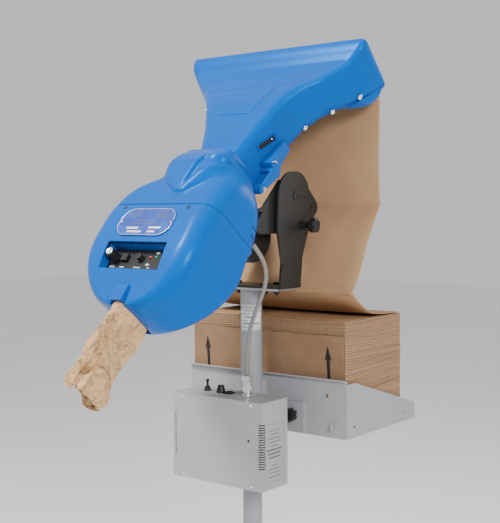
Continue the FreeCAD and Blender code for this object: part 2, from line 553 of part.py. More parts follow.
# ---------------------------------------------------------------- funnel
def funnel_sections(inset):
    """Rings up the funnel; its neck stands to the right of the middle."""
    sections = [(-89, 10, 38, 42, -148, -72, 14), (-20, 10, 53, 58, -152, -62, 22),
                (51, 6, 75, 82, -152, -60, 24), (108, 2, 98, 108, -152, -60, 24),
                (146, 0, 118, 144, -146, -58, 22), (172, 0, 144, 176, -134, -53, 20),
                (200, 0, 176, 197, -130, -45, 18), (226, 0, 199, 207, -133, -36, 15),
                (241, 0, 212, 213, -140, -31, 12), (MOUTH_Z, 0, 215, 215, -143, -28, 12)]
    rings = [rounded_ring(half_front - inset, half_back - inset, front + inset, back - inset,
                          radius - inset * 0.6, z, centre)
             for z, centre, half_front, half_back, front, back, radius in sections]
    for ring, lean in ((rings[-2], MOUTH_LEAN / 2), (rings[-1], MOUTH_LEAN)):
        ring.rotate(ring.BoundBox.Center, V(1, 0, 0), lean)
    return rings


def funnel():
    outer = loft(funnel_sections(0), True)
    inner_rings = funnel_sections(FUNNEL_WALL)
    low, high = inner_rings[0].copy(), inner_rings[-1].copy()
    low.translate(V(0, 0, -3))
    high.translate(V(0, 0, 3))
    tube = outer.cut(loft([low] + inner_rings[1:-1] + [high], True))

    # The rear panel is the tube's back wall up to this line, with a rolled lip for the paper.
    split = [(-68, -95), (-66, 121), (-62, 150), (-52, 192), (-38, 260)]
    rear_zone = plate(split + [(0, 260), (0, -95)], -230, 230)
    front_zone = plate([(y + 0.2, z) for y, z in split] + [(0, 260), (0, -95)], -230, 230)
    inner_side = plate([(y - 0.2, z) for y, z in split] + [(-300, 260), (-300, -95)], -230, 230)
    body = tube.cut(rear_zone)
    rear = tube.common(front_zone)
    lip = plate([(-52, 178), (-21, 203, -31, 241)], -205, 205)
    rear = rear.fuse(lip.cut(inner_side).cut(body)).removeSplitter()

    for sx in (-1, 1):
        body = body.cut(plate([(-124, 16), (-117, 14), (-103, 60), (-110, 62)], *sorted((sx * 50, sx * 130))))
    body = max(body.Solids, key=lambda solid: solid.Volume)
    export("funnel", *in_head(body))
    export("funnel_rear_panel", *in_head(max(rear.Solids, key=lambda solid: solid.Volume)))

    core = funnel_sections(-0.4)
    core[0].translate(V(0, 0, -6))
    return loft(core, True)


def funnel_brace(core):
    """Stepped rib that braces the funnel's right side against the cover, and its two pins."""
    points = [(-95, 53), (-71, 54), (-75, 12), (-65, -6), (-86, -70), (-95, -68), (-89, -9), (-102, -6)]
    rib = plate(points, 56, 98).cut(block(40, 93, -120, -82, -52, -16))
    brace = rib.cut(core)
    brace = max(brace.Solids, key=lambda solid: solid.Volume)
    pins = [rod(2.5, (98, -97.5, -2), (106, -97.5, -2)), rod(4.5, (98, -88, -60), (102, -88, -60))]
    export("funnel_brace", *in_head(brace))
    return pins


def bright_screws(brace_pins):
    """Silver screws: six along the funnel's lower edges, two on the data plate, two brace pins."""
    screws = [screw((x, -208.6, -234), (0, -1, 0), 2.4, 1.2, 1.2, 1) for x in (-60, 56)]
    for left, right, y, z in ((-104.6, 108.6, -72, 108), (-149, 149, -66, 152), (-191, 191, -60, 193)):
        for x in (left, right):
            screws.append(screw((x, y, z), (x / abs(x), 0, -0.4), 5, 3, 5, 2))
    export("bright_screws", *in_head(*screws, *brace_pins))


# ---------------------------------------------------------------- chassis, cradle and drive
def chassis():
    sheet = block(-100, 100, CHASSIS_FRONT, CHASSIS_BACK, -292, -94)
    clear_x = MOTOR_HALF + 3.5
    sheet = sheet.cut(rod(MOTOR_R + 2, (-clear_x, MOTOR_Y, MOTOR_Z), (clear_x, MOTOR_Y, MOTOR_Z)))
    sheet = sheet.cut(block(BELT_X - 8, BELT_X + 8, -70, -60, -228, -116))
    sheet = sheet.cut(rod(7.1, (88, -70, -149), (88, -60, -149)))
    sheet = sheet.cut(block(-40, 40, -70, -60, -96, -90))
    mount_x = -MOTOR_HALF - 3.0
    mount = plate([(CHASSIS_BACK, MOTOR_Z + 8), (CHASSIS_BACK, MOTOR_Z - 50), (-30, MOTOR_Z - 34),
                   (-4, MOTOR_Z - 20), (-4, MOTOR_Z + 20), (-30, MOTOR_Z + 26)], mount_x, -MOTOR_HALF)
    mount = mount.cut(rod(9, (mount_x - 5, MOTOR_Y, MOTOR_Z), (0, MOTOR_Y, MOTOR_Z)))
    export("chassis_plate", *in_head(fused(sheet, mount)))

    centre_angle, half_arc = -31.2, TILT_LIMIT + 2
    clamp_r = hypot(CLAMP_Y - PIVOT_Y, CLAMP_Z - PIVOT_Z)
    rim = clamp_r + 13

    def polar(radius, degrees):
        return radius * cos(radians(degrees)), radius * sin(radians(degrees))

    lo, hi = centre_angle - half_arc - 8, centre_angle + half_arc + 8
    sector = plate([(0, 0), polar(rim, lo), polar(rim, centre_angle) + polar(rim, hi)],
                   CRADLE_X, CRADLE_X + CRADLE_T)
    side = plate([(12, 20), (-8, 26), (-49, -2), (-56, -74), (CHASSIS_BACK, -84), (CHASSIS_BACK, -116),
                  (-32, -120), (13, -83), (30, -50)], CRADLE_X, CRADLE_X + CRADLE_T)
    side = side.fuse([sector, rod(24, (CRADLE_X, 0, 0), (CRADLE_X + CRADLE_T, 0, 0))]).removeSplitter()
    side = side.cut(rod(PIVOT_R + 0.07, (0, 0, 0), (120, 0, 0)))
    slot_in, slot_out = clamp_r - 5.6, clamp_r + 5.6
    a, b = centre_angle - half_arc, centre_angle + half_arc
    slot = plate([polar(slot_in, a), polar(slot_out, a),
                  polar(slot_out, centre_angle) + polar(slot_out, b),
                  polar(slot_in, b), polar(slot_in, centre_angle) + polar(slot_in, a)], 70, 100)
    ends = [rod(5.6, (70,) + polar(clamp_r, angle), (100,) + polar(clamp_r, angle)) for angle in (a, b)]
    right = side.cut(slot).cut(ends[0]).cut(ends[1])
    left = side.mirror(V(0, 0, 0), V(1, 0, 0))
    floor = block(-CRADLE_X, CRADLE_X, 13, 16, -80, -50)
    wide_floor = floor.cut(rod(MOTOR_R + 2, (-120, MOTOR_Y, MOTOR_Z), (120, MOTOR_Y, MOTOR_Z)))
    cradle = fused(right, left, wide_floor)
    export("tilt_cradle", *in_head(max(cradle.Solids, key=lambda solid: solid.Volume)))

    side_points = [(CHASSIS_FRONT - 4, -292), (CHASSIS_FRONT, -286), (CHASSIS_FRONT, -108),
                   (-150, -108), (-174, -160), (-190, -168), (-190, -266), (-172, -270), (-150, -300)]
    frame = plate(side_points, FRAME_X, FRAME_X + 3)
    frame = frame.cut(rod(8.5, (50, COUNTER_Y, NIP_Z), (70, COUNTER_Y, NIP_Z)))
    bush = rod(11, (FRAME_X - 4, DRIVE_Y, NIP_Z), (FRAME_X + 6, DRIVE_Y, NIP_Z))
    frame = frame.fuse(bush).cut(rod(6.06, (50, DRIVE_Y, NIP_Z), (80, DRIVE_Y, NIP_Z)))
    right, left = both_sides(frame)
    pin = rod(4, (-63, ARM_PIVOT_Y, ARM_PIVOT_Z), (63, ARM_PIVOT_Y, ARM_PIVOT_Z))
    spring_bar = block(-60, 60, -190, -187.2, -265, -253)
    export("inner_frame", *in_head(fused(right, left, pin, spring_bar)))


def gear_like(radius, width, x, y, z, teeth, depth):
    """A wheel along X with shallow grooves round its rim."""
    wheel = rod(radius, (x - width / 2, y, z), (x + width / 2, y, z))
    for index in range(teeth):
        angle = 2 * pi * index / teeth
        at_y, at_z = y + radius * cos(angle), z + radius * sin(angle)
        wheel = wheel.cut(rod(depth, (x - width, at_y, at_z), (x + width, at_y, at_z)))
    return wheel


def drive():
    shaft = rod(6, (BELT_X - 7, DRIVE_Y, NIP_Z), (FRAME_X + 8, DRIVE_Y, NIP_Z))
    export("drive_shaft", *in_head(shaft))
    drive_wheels = []
    for x in (-18, 18):
        wheel = gear_like(DRIVE_R, 16, x, DRIVE_Y, NIP_Z, 30, 1.2)
        drive_wheels.append(wheel.cut(rod(6, (-90, DRIVE_Y, NIP_Z), (90, DRIVE_Y, NIP_Z))))
    export("drive_wheels", *in_head(*drive_wheels))
    big = gear_like(BIG_PULLEY_R - BELT_T / 2, BELT_W, BELT_X, DRIVE_Y, NIP_Z, 40, 0.8)
    export("drive_pulley", *in_head(big.cut(rod(6, (-90, DRIVE_Y, NIP_Z), (90, DRIVE_Y, NIP_Z)))))

    counter = rod(5, (-57, COUNTER_Y, NIP_Z), (57, COUNTER_Y, NIP_Z))
    export("counter_shaft", *in_head(counter))
    counter_wheels = []
    for x in (-18, 18):
        wheel = gear_like(COUNTER_R, 16, x, COUNTER_Y, NIP_Z, 26, 1.2)
        counter_wheels.append(wheel.cut(rod(5, (-90, COUNTER_Y, NIP_Z), (90, COUNTER_Y, NIP_Z))))
    export("counter_wheels", *in_head(*counter_wheels))

    arm = plate([(-167, -171), (-181, -171), (-181, -262), (-167, -262), (-157, -240), (-157, -218)], 48, 51)
    arm = arm.cut(rod(4.06, (40, ARM_PIVOT_Y, ARM_PIVOT_Z), (60, ARM_PIVOT_Y, ARM_PIVOT_Z)))
    arm = arm.cut(rod(5.06, (40, COUNTER_Y, NIP_Z), (60, COUNTER_Y, NIP_Z)))
    tie = block(-48, 48, -181, -176, -262, -257)
    export("pressure_arms", *in_head(fused(arm, arm.mirror(V(0, 0, 0), V(1, 0, 0)), tie)))
    springs = []
    for x in (-42, 42):
        ring = rod(5, (x, -187.1, -259.5), (x, -181.1, -259.5))
        springs.append(ring.cut(rod(3.6, (x, -190, -259.5), (x, -180, -259.5))))
    export("pressure_springs", *in_head(*springs))


def motor():
    y, z = MOTOR_Y, MOTOR_Z
    drum = rod(MOTOR_R, (-MOTOR_HALF, y, z), (MOTOR_HALF, y, z))
    rims = [e for e in drum.Edges if e.Length > 2 * pi * MOTOR_R - 1]
    drum = drum.makeFillet(6, rims)
    drum = drum.cut(rod(6.06, (-MOTOR_HALF - 1, y, z), (-MOTOR_HALF + 30, y, z)))
    export("feed_motor", *in_head(drum))
    shaft = rod(6, (-MOTOR_HALF + 25, y, z), (BELT_X - 7, y, z))
    pulley = gear_like(SMALL_PULLEY_R - BELT_T / 2, BELT_W, BELT_X, y, z, 18, 0.8)
    export("motor_pulley", *in_head(fused(shaft, pulley)))
    belt(y, z)


def belt(y, z):
    """Open toothed belt: the outer tangent loop round both pulleys, one belt thick."""
    dy, dz = DRIVE_Y - y, NIP_Z - z
    span = hypot(dy, dz)
    along = V(0, dy / span, dz / span)
    across = V(0, -along.z, along.y)
    small, big = V(0, y, z), V(0, DRIVE_Y, NIP_Z)

    def loop(offset):
        r_small, r_big = SMALL_PULLEY_R + offset, BIG_PULLEY_R + offset
        lean = (r_big - r_small) / span
        level = sqrt(1 - lean * lean)
        edges = []
        touch = {}
        for side in (-1, 1):
            normal = along * -lean + across * (side * level)
            touch[side] = (small + normal * r_small, big + normal * r_big)
            edges.append(Part.LineSegment(*touch[side]).toShape())
        edges.append(Part.Arc(touch[-1][0], small - along * r_small, touch[1][0]).toShape())
        edges.append(Part.Arc(touch[-1][1], big + along * r_big, touch[1][1]).toShape())
        return Part.Face(Part.Wire(Part.__sortEdges__(edges)))

    band = loop(BELT_T / 2 + 0.2).cut(loop(-BELT_T / 2 + 0.2))
    band.translate(V(BELT_X - BELT_W / 2, 0, 0))
    export("drive_belt", *in_head(band.extrude(V(BELT_W, 0, 0))))


# ---------------------------------------------------------------- outlet and paper strip
def outlet():
    chute = outlet_block(18, -181, -99, -380, -334).cut(outlet_block(16, -179, -101, -390, -330))
    export("outlet_chute", *in_head(chute))
    rings = []
    for z, half_x, front, back, radius in (
            (-112, 16, -150, -106, 4), (-170, 22, -150, -132, 4), (-214, 28, -142.6, -139.4, 1.2),
            (-244, 28, -142.6, -139.4, 1.2), (-300, 13, -160, -112, 4), (-328, 13, -166, -108, 5),
            (-350, 13, -176, -104, 6), (-394, 13, -177, -104, 8), (-399, 17, -183, -99, 8),
            (-420, 23, -195, -93, 14), (-470, 26, -199, -98, 16), (-520, 26, -200, -104, 16),
            (-554, 26, -204, -107, 14)):
        centre = OUTLET_X if z <= -300 else 0
        rings.append(rounded_ring(half_x, half_x, front, back, radius, z, centre))
    export("paper_strip", *in_head(loft(rings, True)))


# ---------------------------------------------------------------- cable
def cable():
    points = [V(*p) for p in CABLE_ROUTE]
    runs = [(b - a).Length for a, b in zip(points, points[1:])]
    edges, here, length, radii = [], points[0], 0.0, []
    for index in range(1, len(points) - 1):
        into = (points[index] - points[index - 1]).normalize()
        out = (points[index + 1] - points[index]).normalize()
        turn = into.getAngle(out)
        setback = 0.45 * min(runs[index - 1], runs[index])
        radius = setback / tan(turn / 2)
        start, end = points[index] - into * setback, points[index] + out * setback
        inward = (out - into).normalize()
        middle = points[index] + inward * (radius / cos(turn / 2) - radius)
        edges.append(Part.LineSegment(here, start).toShape())
        edges.append(Part.Arc(start, middle, end).toShape())
        length += (start - here).Length + radius * turn
        radii.append(round(radius, 1))
        here = end
    edges.append(Part.LineSegment(here, points[-1]).toShape())
    length += (points[-1] - here).Length
    path = Part.Wire(edges)
    section = Part.Wire(Part.makeCircle(CABLE_R, points[0], points[1] - points[0]))
    tube = path.makePipeShell([section], True, True)
    print("cable radii", radii, "length", round(length, 1),
          "volume ratio", round(tube.Volume / (pi * CABLE_R ** 2 * length), 4))
    export("signal_cable", tube)

    gland_start, gland_end = (88, CHASSIS_BACK, -149), (88, -48, -149)
    gland = fused(rod(10, gland_start, gland_end), rod(7, (88, -71, -149), (88, -50, -149)))
    gland = fused(gland, cone(8, 5.4, gland_end, (88, -40.3, -149)))
    export("cable_gland", *in_head(gland))


base()
mast()
control_box()
box_top_controls()
tray()
paper_pack()
paper_web()
lower_cover()
core = funnel()
upper_cover(core)
bright_screws(funnel_brace(core))
head_trim()
chassis()
drive()
motor()
outlet()
cable()
print("nodes", len(os.listdir("parts")))
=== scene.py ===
import json
from math import atan2, cos, pi, radians, sin, sqrt

import bpy
import numpy as np
from mathutils import Matrix, Vector, noise


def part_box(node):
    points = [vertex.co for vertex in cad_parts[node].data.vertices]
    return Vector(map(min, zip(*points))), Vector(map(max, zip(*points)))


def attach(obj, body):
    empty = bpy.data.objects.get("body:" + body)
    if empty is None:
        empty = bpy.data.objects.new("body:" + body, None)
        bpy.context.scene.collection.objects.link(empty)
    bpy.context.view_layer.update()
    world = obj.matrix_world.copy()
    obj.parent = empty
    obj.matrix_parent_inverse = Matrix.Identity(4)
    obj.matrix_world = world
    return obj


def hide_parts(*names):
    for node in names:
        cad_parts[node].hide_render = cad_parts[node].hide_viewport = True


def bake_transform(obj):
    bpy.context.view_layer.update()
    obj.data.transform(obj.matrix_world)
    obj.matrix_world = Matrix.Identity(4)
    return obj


# Looks of a paper void-fill converter on its column stand.  Metres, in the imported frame.
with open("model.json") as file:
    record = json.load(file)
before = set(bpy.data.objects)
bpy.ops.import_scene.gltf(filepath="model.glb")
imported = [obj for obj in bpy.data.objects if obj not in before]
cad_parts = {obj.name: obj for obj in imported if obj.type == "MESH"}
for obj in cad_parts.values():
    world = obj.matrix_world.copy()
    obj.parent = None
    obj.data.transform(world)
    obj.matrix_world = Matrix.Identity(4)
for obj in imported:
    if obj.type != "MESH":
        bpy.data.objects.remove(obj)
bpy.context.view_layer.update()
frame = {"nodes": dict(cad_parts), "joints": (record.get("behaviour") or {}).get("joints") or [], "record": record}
NODES = frame["nodes"]
MM = 0.001

# ---- places taken from the frame
TILT = next(j for j in frame["joints"] if j["name"] == "head_tilt")
PIVOT = Vector(TILT["pos_m"])
HEAD_LEAN = radians(-40)            # the head's own +Z is its feed axis, towards the funnel


def head(x, y, z):
    """A place in the head's own frame (mm) as a place in the object's frame (m)."""
    c, s = cos(HEAD_LEAN), sin(HEAD_LEAN)
    return Vector((x * MM, PIVOT.y + (y * c - z * s) * MM, PIVOT.z + (y * s + z * c) * MM))


HEAD_FRONT = Vector((0, -cos(HEAD_LEAN), -sin(HEAD_LEAN))).normalized()


def clip(value):
    return min(1.0, max(0.0, value))


def placed(name, data):
    """A new object in the scene, holding some data."""
    made = bpy.data.objects.new(name, data)
    bpy.context.scene.collection.objects.link(made)
    return made


# ---- camera
def camera():
    azimuth, pitch, roll = radians(38.2), radians(3.1), radians(-0.4)
    distance, offset, eye_height, lens = 1.9586, -0.002, 1.35, 68.71
    away = Vector((-sin(azimuth) * cos(pitch), cos(azimuth) * cos(pitch), -sin(pitch)))
    level = Vector((cos(azimuth), sin(azimuth), 0))
    rise = level.cross(away)
    right = level * cos(roll) + rise * sin(roll)
    up = rise * cos(roll) - level * sin(roll)
    data = bpy.data.cameras.new("camera")
    data.lens, data.sensor_width = lens, 36
    made = placed("camera", data)
    turn = Matrix((right, up, -away)).transposed().to_4x4()
    turn.translation = Vector((sin(azimuth), -cos(azimuth), 0)) * distance + level * offset
    turn.translation.z += eye_height
    made.matrix_world = turn
    bpy.context.scene.camera = made


camera()


# ---- material helpers
class Shader:
    """A small helper round one Principled material."""

    def __init__(self, name, roughness=0.5, metallic=0.0, coat=0.0, specular=0.5, tint=(1, 1, 1)):
        self.material = bpy.data.materials.new(name)
        self.material.use_nodes = True
        self.tree = self.material.node_tree
        self.shader = self.tree.nodes["Principled BSDF"]
        for key, value in (("Roughness", roughness), ("Metallic", metallic), ("Coat Weight", coat),
                           ("Coat Roughness", 0.06), ("Specular IOR Level", specular),
                           ("Specular Tint", (*tint, 1))):
            self.shader.inputs[key].default_value = value
        self.place = self.node("ShaderNodeTexCoord").outputs["Object"]
        self.height = None

    def node(self, kind, **values):
        made = self.tree.nodes.new(kind)
        for key, value in values.items():
            if hasattr(made, key):
                setattr(made, key, value)
            else:
                made.inputs[key.replace("_", " ")].default_value = value
        return made

    def link(self, a, b):
        self.tree.links.new(a, b)

    def stretched(self, sx, sy, sz, vector=None):
        mapping = self.node("ShaderNodeMapping", Scale=(sx, sy, sz))
        self.link(vector or self.place, mapping.inputs["Vector"])
        return mapping.outputs["Vector"]

    def noise(self, scale, detail=3.0, roughness=0.55, vector=None, distortion=0.0):
        made = self.node("ShaderNodeTexNoise", Scale=scale, Detail=detail, Roughness=roughness,
                         Distortion=distortion)
        self.link(vector or self.place, made.inputs["Vector"])
        return made.outputs["Fac"]

    def ramp(self, value, *stops):
        made = self.node("ShaderNodeValToRGB")
        points = made.color_ramp.elements
        while len(points) < len(stops):
            points.new(0.5)
        for point, (position, colour) in zip(points, stops):
            point.position = position
            point.color = (*colour, 1)
        self.link(value, made.inputs["Fac"])
        return made.outputs["Color"]

    def mottled(self, value, colour, spread, low=0.3):
        """A ramp from a darker to a lighter tone of one colour."""
        dark, light = [tuple(max(0.0, c * k) for c in colour) for k in (1 - spread, 1 + spread)]
        return self.ramp(value, (low, dark), (1 - low, light))

    def span(self, value, low, high, start=0.0, end=1.0):
        made = self.node("ShaderNodeMapRange", From_Min=start, From_Max=end, To_Min=low, To_Max=high)
        self.link(value, made.inputs["Value"])
        return made.outputs["Result"]

    def mix(self, share, a, b):
        made = self.node("ShaderNodeMix", data_type="RGBA")
        for socket, value in ((made.inputs[0], share), (made.inputs[6], a), (made.inputs[7], b)):
            if isinstance(value, bpy.types.NodeSocket):
                self.link(value, socket)
            elif socket.type == "VALUE":
                socket.default_value = value
            else:
                socket.default_value = (*value, 1)
        return made.outputs[2]

    def colour(self, value):
        if isinstance(value, bpy.types.NodeSocket):
            self.link(value, self.shader.inputs["Base Color"])
        else:
            self.shader.inputs["Base Color"].default_value = (*value, 1)

    def rough(self, value):
        self.link(value, self.shader.inputs["Roughness"])

    def bump(self, value, strength, distance):
        made = self.node("ShaderNodeBump", Strength=strength, Distance=distance)
        self.link(value, made.inputs["Height"])
        if self.height is not None:
            self.link(self.height, made.inputs["Normal"])
        self.height = made.outputs["Normal"]
        self.link(self.height, self.shader.inputs["Normal"])


def moulded(name, colour, roughness, coat=0.0, spread=0.05, grain=900.0, depth=0.04,
             tint=(1, 1, 1)):
    """Moulded plastic: faint mottling, a fine moulding texture and slightly uneven gloss."""
    s = Shader(name, roughness, coat=coat, specular=0.22, tint=tint)
    s.colour(s.mottled(s.noise(9, 4), colour, spread))
    s.rough(s.span(s.noise(35, 4), roughness * 0.85, roughness * 1.2))
    s.bump(s.noise(14, 2), 0.05, 0.003)
    s.bump(s.noise(grain, 2), depth, 0.0004)
    return s.material


def powder_coat(name, colour, roughness, spread=0.04):
    """Powder-coated steel: an orange-peel skin with tiny specks and faint handling marks."""
    s = Shader(name, roughness, specular=0.45)
    base = s.mottled(s.noise(6, 5), colour, spread)
    specks = s.span(s.noise(1400, 1), 0, 1, 0.62, 0.7)
    s.colour(s.mix(specks, base, tuple(min(1, c * 1.18) for c in colour)))
    s.rough(s.span(s.noise(24, 5), roughness * 0.85, roughness * 1.2))
    s.bump(s.noise(650, 2), 0.16, 0.0005)
    return s.material


def metal(name, colour, roughness, along=(1, 1, 1), spread=0.06):
    """Bare metal with drawn or turned lines along one axis."""
    s = Shader(name, roughness, metallic=1.0)
    lines = s.noise(420, 3, vector=s.stretched(*along))
    s.colour(s.mottled(lines, colour, spread))
    s.rough(s.span(lines, roughness * 0.7, roughness * 1.4))
    s.bump(lines, 0.08, 0.0003)
    return s.material


def kraft(name, colour, spread=0.10, crumpled=False):
    """Kraft paper: long pale and dark fibres, cloudy pulp and a dull surface."""
    s = Shader(name, 0.78, specular=0.25)
    cloud = s.mottled(s.noise(16, 6, 0.65), colour, spread, 0.28)
    fibre = s.span(s.noise(260, 5, 0.7, s.stretched(1, 5, 5)), 0, 1, 0.5, 0.72)
    flecks = s.span(s.noise(600, 2), 0, 1, 0.66, 0.74)
    fibred = s.mix(fibre, cloud, tuple(c * 1.16 for c in colour))
    s.colour(s.mix(flecks, fibred, tuple(c * 0.62 for c in colour)))
    s.bump(s.noise(320, 4, 0.7, s.stretched(1, 4, 4)), 0.22, 0.0005)
    s.bump(s.noise(30, 3), 0.10, 0.003)
    if crumpled:
        warp = s.node("ShaderNodeTexNoise", Scale=22.0, Detail=2.0)
        s.link(s.place, warp.inputs["Vector"])
        warped = s.node("ShaderNodeVectorMath", operation="MULTIPLY_ADD")
        s.link(warp.outputs["Color"], warped.inputs[0])
        warped.inputs[1].default_value = (0.014, 0.014, 0.014)
        s.link(s.place, warped.inputs[2])
        for scale, depth in ((27.0, 0.013), (70.0, 0.0026)):
            cell = s.node("ShaderNodeTexVoronoi", feature="F1", distance="MANHATTAN", Scale=scale)
            s.link(warped.outputs["Vector"], cell.inputs["Vector"])
            s.bump(cell.outputs["Distance"], 1.0, depth)
    return s.material


def folded_edges(name, crease_shade):
    """The sides of the pack: thin sheets seen edge on; on the faces where they fold, dark upright lines are
    painted shade in the creases.
    """
    s = Shader(name, 0.85, specular=0.2)
    wave = s.noise(5, 2, vector=s.stretched(1, 1, 3))
    shift = s.node("ShaderNodeVectorMath", operation="SCALE", Scale=0.012)
    s.link(s.ramp(wave, (0, (0, 0, 0)), (1, (0, 0, 1))), shift.inputs[0])
    moved = s.node("ShaderNodeVectorMath", operation="ADD")
    s.link(s.place, moved.inputs[0])
    s.link(shift.outputs[0], moved.inputs[1])
    sheets = s.noise(1.0, 5, 0.75, s.stretched(1.5, 1.5, 330, moved.outputs[0]))
    base = s.ramp(sheets, (0.30, (0.12, 0.068, 0.036)), (0.44, (0.26, 0.155, 0.085)),
                  (0.70, (0.36, 0.23, 0.135)))
    # painted shade: dark upright lines where the creases of the folds lie in shade
    if crease_shade:
        upright = s.node("ShaderNodeTexWave", Scale=70.0, Distortion=1.2, Detail=1.0)
        s.link(s.place, upright.inputs["Vector"])
        base = s.mix(s.span(upright.outputs["Fac"], 0.8, 0, 0.0, 0.5), base, (0.07, 0.04, 0.022))
    s.colour(base)
    s.bump(sheets, 0.4, 0.001)
    return s.material


def board(name):
    """Corrugated cardboard: upright flutes show faintly through a mottled kraft face."""
    s = Shader(name, 0.85, specular=0.2)
    flutes = s.node("ShaderNodeTexWave", Scale=42.0, Distortion=0.5, Detail=1.0,
                    bands_direction="X")
    s.link(s.place, flutes.inputs["Vector"])
    base = s.ramp(s.noise(14, 6, 0.65), (0.3, (0.185, 0.105, 0.056)), (0.7, (0.25, 0.148, 0.084)))
    specks = s.span(s.noise(500, 3), 0, 1, 0.6, 0.72)
    s.colour(s.mix(specks, base, (0.24, 0.14, 0.08)))
    s.bump(flutes.outputs["Fac"], 0.10, 0.0012)
    s.bump(s.noise(350, 3), 0.15, 0.0004)
    return s.material


def speckled(name, colour, roughness, other, scale):
    """A surface of two tones, as on a circuit board or a printed plate."""
    s = Shader(name, roughness)
    s.colour(s.ramp(s.noise(scale, 5), (0.45, colour), (0.6, other)))
    s.bump(s.noise(scale * 3, 2), 0.08, 0.0004)
    return s.material


def lamp_lens():
    """Two lenses: the right one is green and the left one is red."""
    s = Shader("lamp_lens", 0.12, coat=0.6)
    split = s.node("ShaderNodeSeparateXYZ")
    s.link(s.place, split.inputs[0])
    low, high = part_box("panel_lamps")
    side = s.span(split.outputs["X"], 0, 1, (low.x + high.x) / 2 - 0.0005, (low.x + high.x) / 2 + 0.0005)
    glow = s.noise(300, 2)
    s.colour(s.mix(side, s.ramp(glow, (0.3, (0.35, 0.015, 0.01)), (0.7, (0.6, 0.03, 0.02))),
                   s.ramp(glow, (0.3, (0.01, 0.28, 0.09)), (0.7, (0.02, 0.5, 0.16)))))
    return s.material


BLUE = moulded("blue_plastic", (0.0, 0.082, 0.36), 0.27, spread=0.04, grain=700, depth=0.025,
                tint=(0.0, 0.45, 1.0))
BLACK_STEEL = powder_coat("black_steel", (0.012, 0.0115, 0.011), 0.46, 0.1)
GREY_STEEL = powder_coat("grey_steel", (0.285, 0.291, 0.303), 0.42)
COLUMN_STEEL = powder_coat("column_steel", (0.25, 0.258, 0.275), 0.36)
ZINC = metal("zinc_steel", (0.62, 0.64, 0.66), 0.32, (8, 1, 1))
NICKEL = metal("nickel", (0.80, 0.80, 0.79), 0.17, (1, 1, 6))
TURNED = metal("turned_aluminium", (0.78, 0.79, 0.80), 0.3, (6, 1, 1))
PAPER = kraft("kraft_web", (0.37, 0.215, 0.11))
# painted light: the same kraft as the web, given a paler colour for the strong light on the crumpled strip
LIT_KRAFT = kraft("kraft_strip_painted_light", (0.54, 0.335, 0.165), 0.10, True)
BLACK_PLASTIC = moulded("black_plastic", (0.012, 0.012, 0.013), 0.34, coat=0.1, spread=0.2)
RUBBER = moulded("rubber", (0.018, 0.018, 0.018), 0.7, spread=0.2, grain=500, depth=0.12)
JACKET = moulded("cable_jacket", (0.19, 0.175, 0.16), 0.42, spread=0.06, grain=1200)
CARDBOARD = board("cardboard_wrap")
EDGES = folded_edges("pack_sides", False)
# the pack's folded faces carry painted shade in their creases
FOLDS_SHADED = folded_edges("pack_folds_painted_shade", True)
# black print, also used as painted shade on the funnel slot floors and in the box's front hole
BLACK_PRINT_AND_SHADE = moulded("black_print_and_shade", (0.02, 0.017, 0.015), 0.7, spread=0.25, grain=600, depth=0.1)
PLATE_BLUE = speckled("plate_print", (0.006, 0.045, 0.30), 0.28, (0.01, 0.07, 0.38), 40)
CIRCUIT = speckled("circuit_board", (0.02, 0.13, 0.05), 0.4, (0.08, 0.2, 0.08), 160)
WHITE = moulded("white_label", (0.60, 0.60, 0.59), 0.55, spread=0.03, grain=900, depth=0.05)
INK = moulded("grey_print", (0.10, 0.10, 0.105), 0.6, spread=0.15)
LENS = lamp_lens()

SLOT_MATERIAL = {
    "blue_plastic": BLUE, "black_steel": BLACK_STEEL, "grey_steel": GREY_STEEL, "column_steel": COLUMN_STEEL,
    "zinc_steel": ZINC, "silver_metal": NICKEL, "white_metal": TURNED, "kraft_paper": PAPER,
    "pack_paper": EDGES, "cardboard": CARDBOARD, "black_plastic": BLACK_PLASTIC, "black_rubber": RUBBER,
    "cable_grey": JACKET, "lamp_lens": LENS, "plate_blue": PLATE_BLUE, "board_green": CIRCUIT}
for part in frame["record"]["subparts"]:
    finish_of = NODES[part["node"]].data
    finish_of.materials.clear()
    finish_of.materials.append(SLOT_MATERIAL[part["material_slot"]])


# ---- mesh helpers
def circle(radius, count):
    return [(radius * cos(2 * pi * k / count), radius * sin(2 * pi * k / count)) for k in range(count)]


def mesh_piece(name, vertices, faces, material, slot, smooth=True):
    mesh = bpy.data.meshes.new(name)
    mesh.from_pydata([tuple(v) for v in vertices], [], faces)
    mesh.validate()
    mesh.materials.append(material)
    for polygon in mesh.polygons:
        polygon.use_smooth = smooth
    made = placed(name, mesh)
    return made


def grid_faces(rows, columns, closed=False, start=0, flip=False):
    """Quads between rows of points; closed joins the last column to the first."""
    faces = []
    for r in range(rows - 1):
        for c in range(columns if closed else columns - 1):
            n = (c + 1) % columns
            face = (start + r * columns + c, start + r * columns + n,
                    start + (r + 1) * columns + n, start + (r + 1) * columns + c)
            faces.append(face[::-1] if flip else face)
    return faces


def lofted(rows, flip=False):
    """Vertices and faces of a body through closed rings of points, with both ends filled."""
    count = len(rows[0])
    last = (len(rows) - 1) * count
    faces = grid_faces(len(rows), count, True, 0, flip)
    for ring, turned in ((tuple(range(count)), not flip), (tuple(range(last, last + count)), flip)):
        faces.append(ring[::-1] if turned else ring)
    return [p for row in rows for p in row], faces


def prisms(pairs):
    """Vertices and faces of prisms, each between an outline and the same outline moved."""
    vertices, faces = [], []
    for top, base in pairs:
        start, count = len(vertices), len(top)
        vertices += [*top, *base]
        faces.append(tuple(range(start, start + count)))
        faces.append(tuple(range(start + 2 * count - 1, start + count - 1, -1)))
        faces += [(start + k, start + count + k, start + count + (k + 1) % count, start + (k + 1) % count)
                  for k in range(count)]
    return vertices, faces


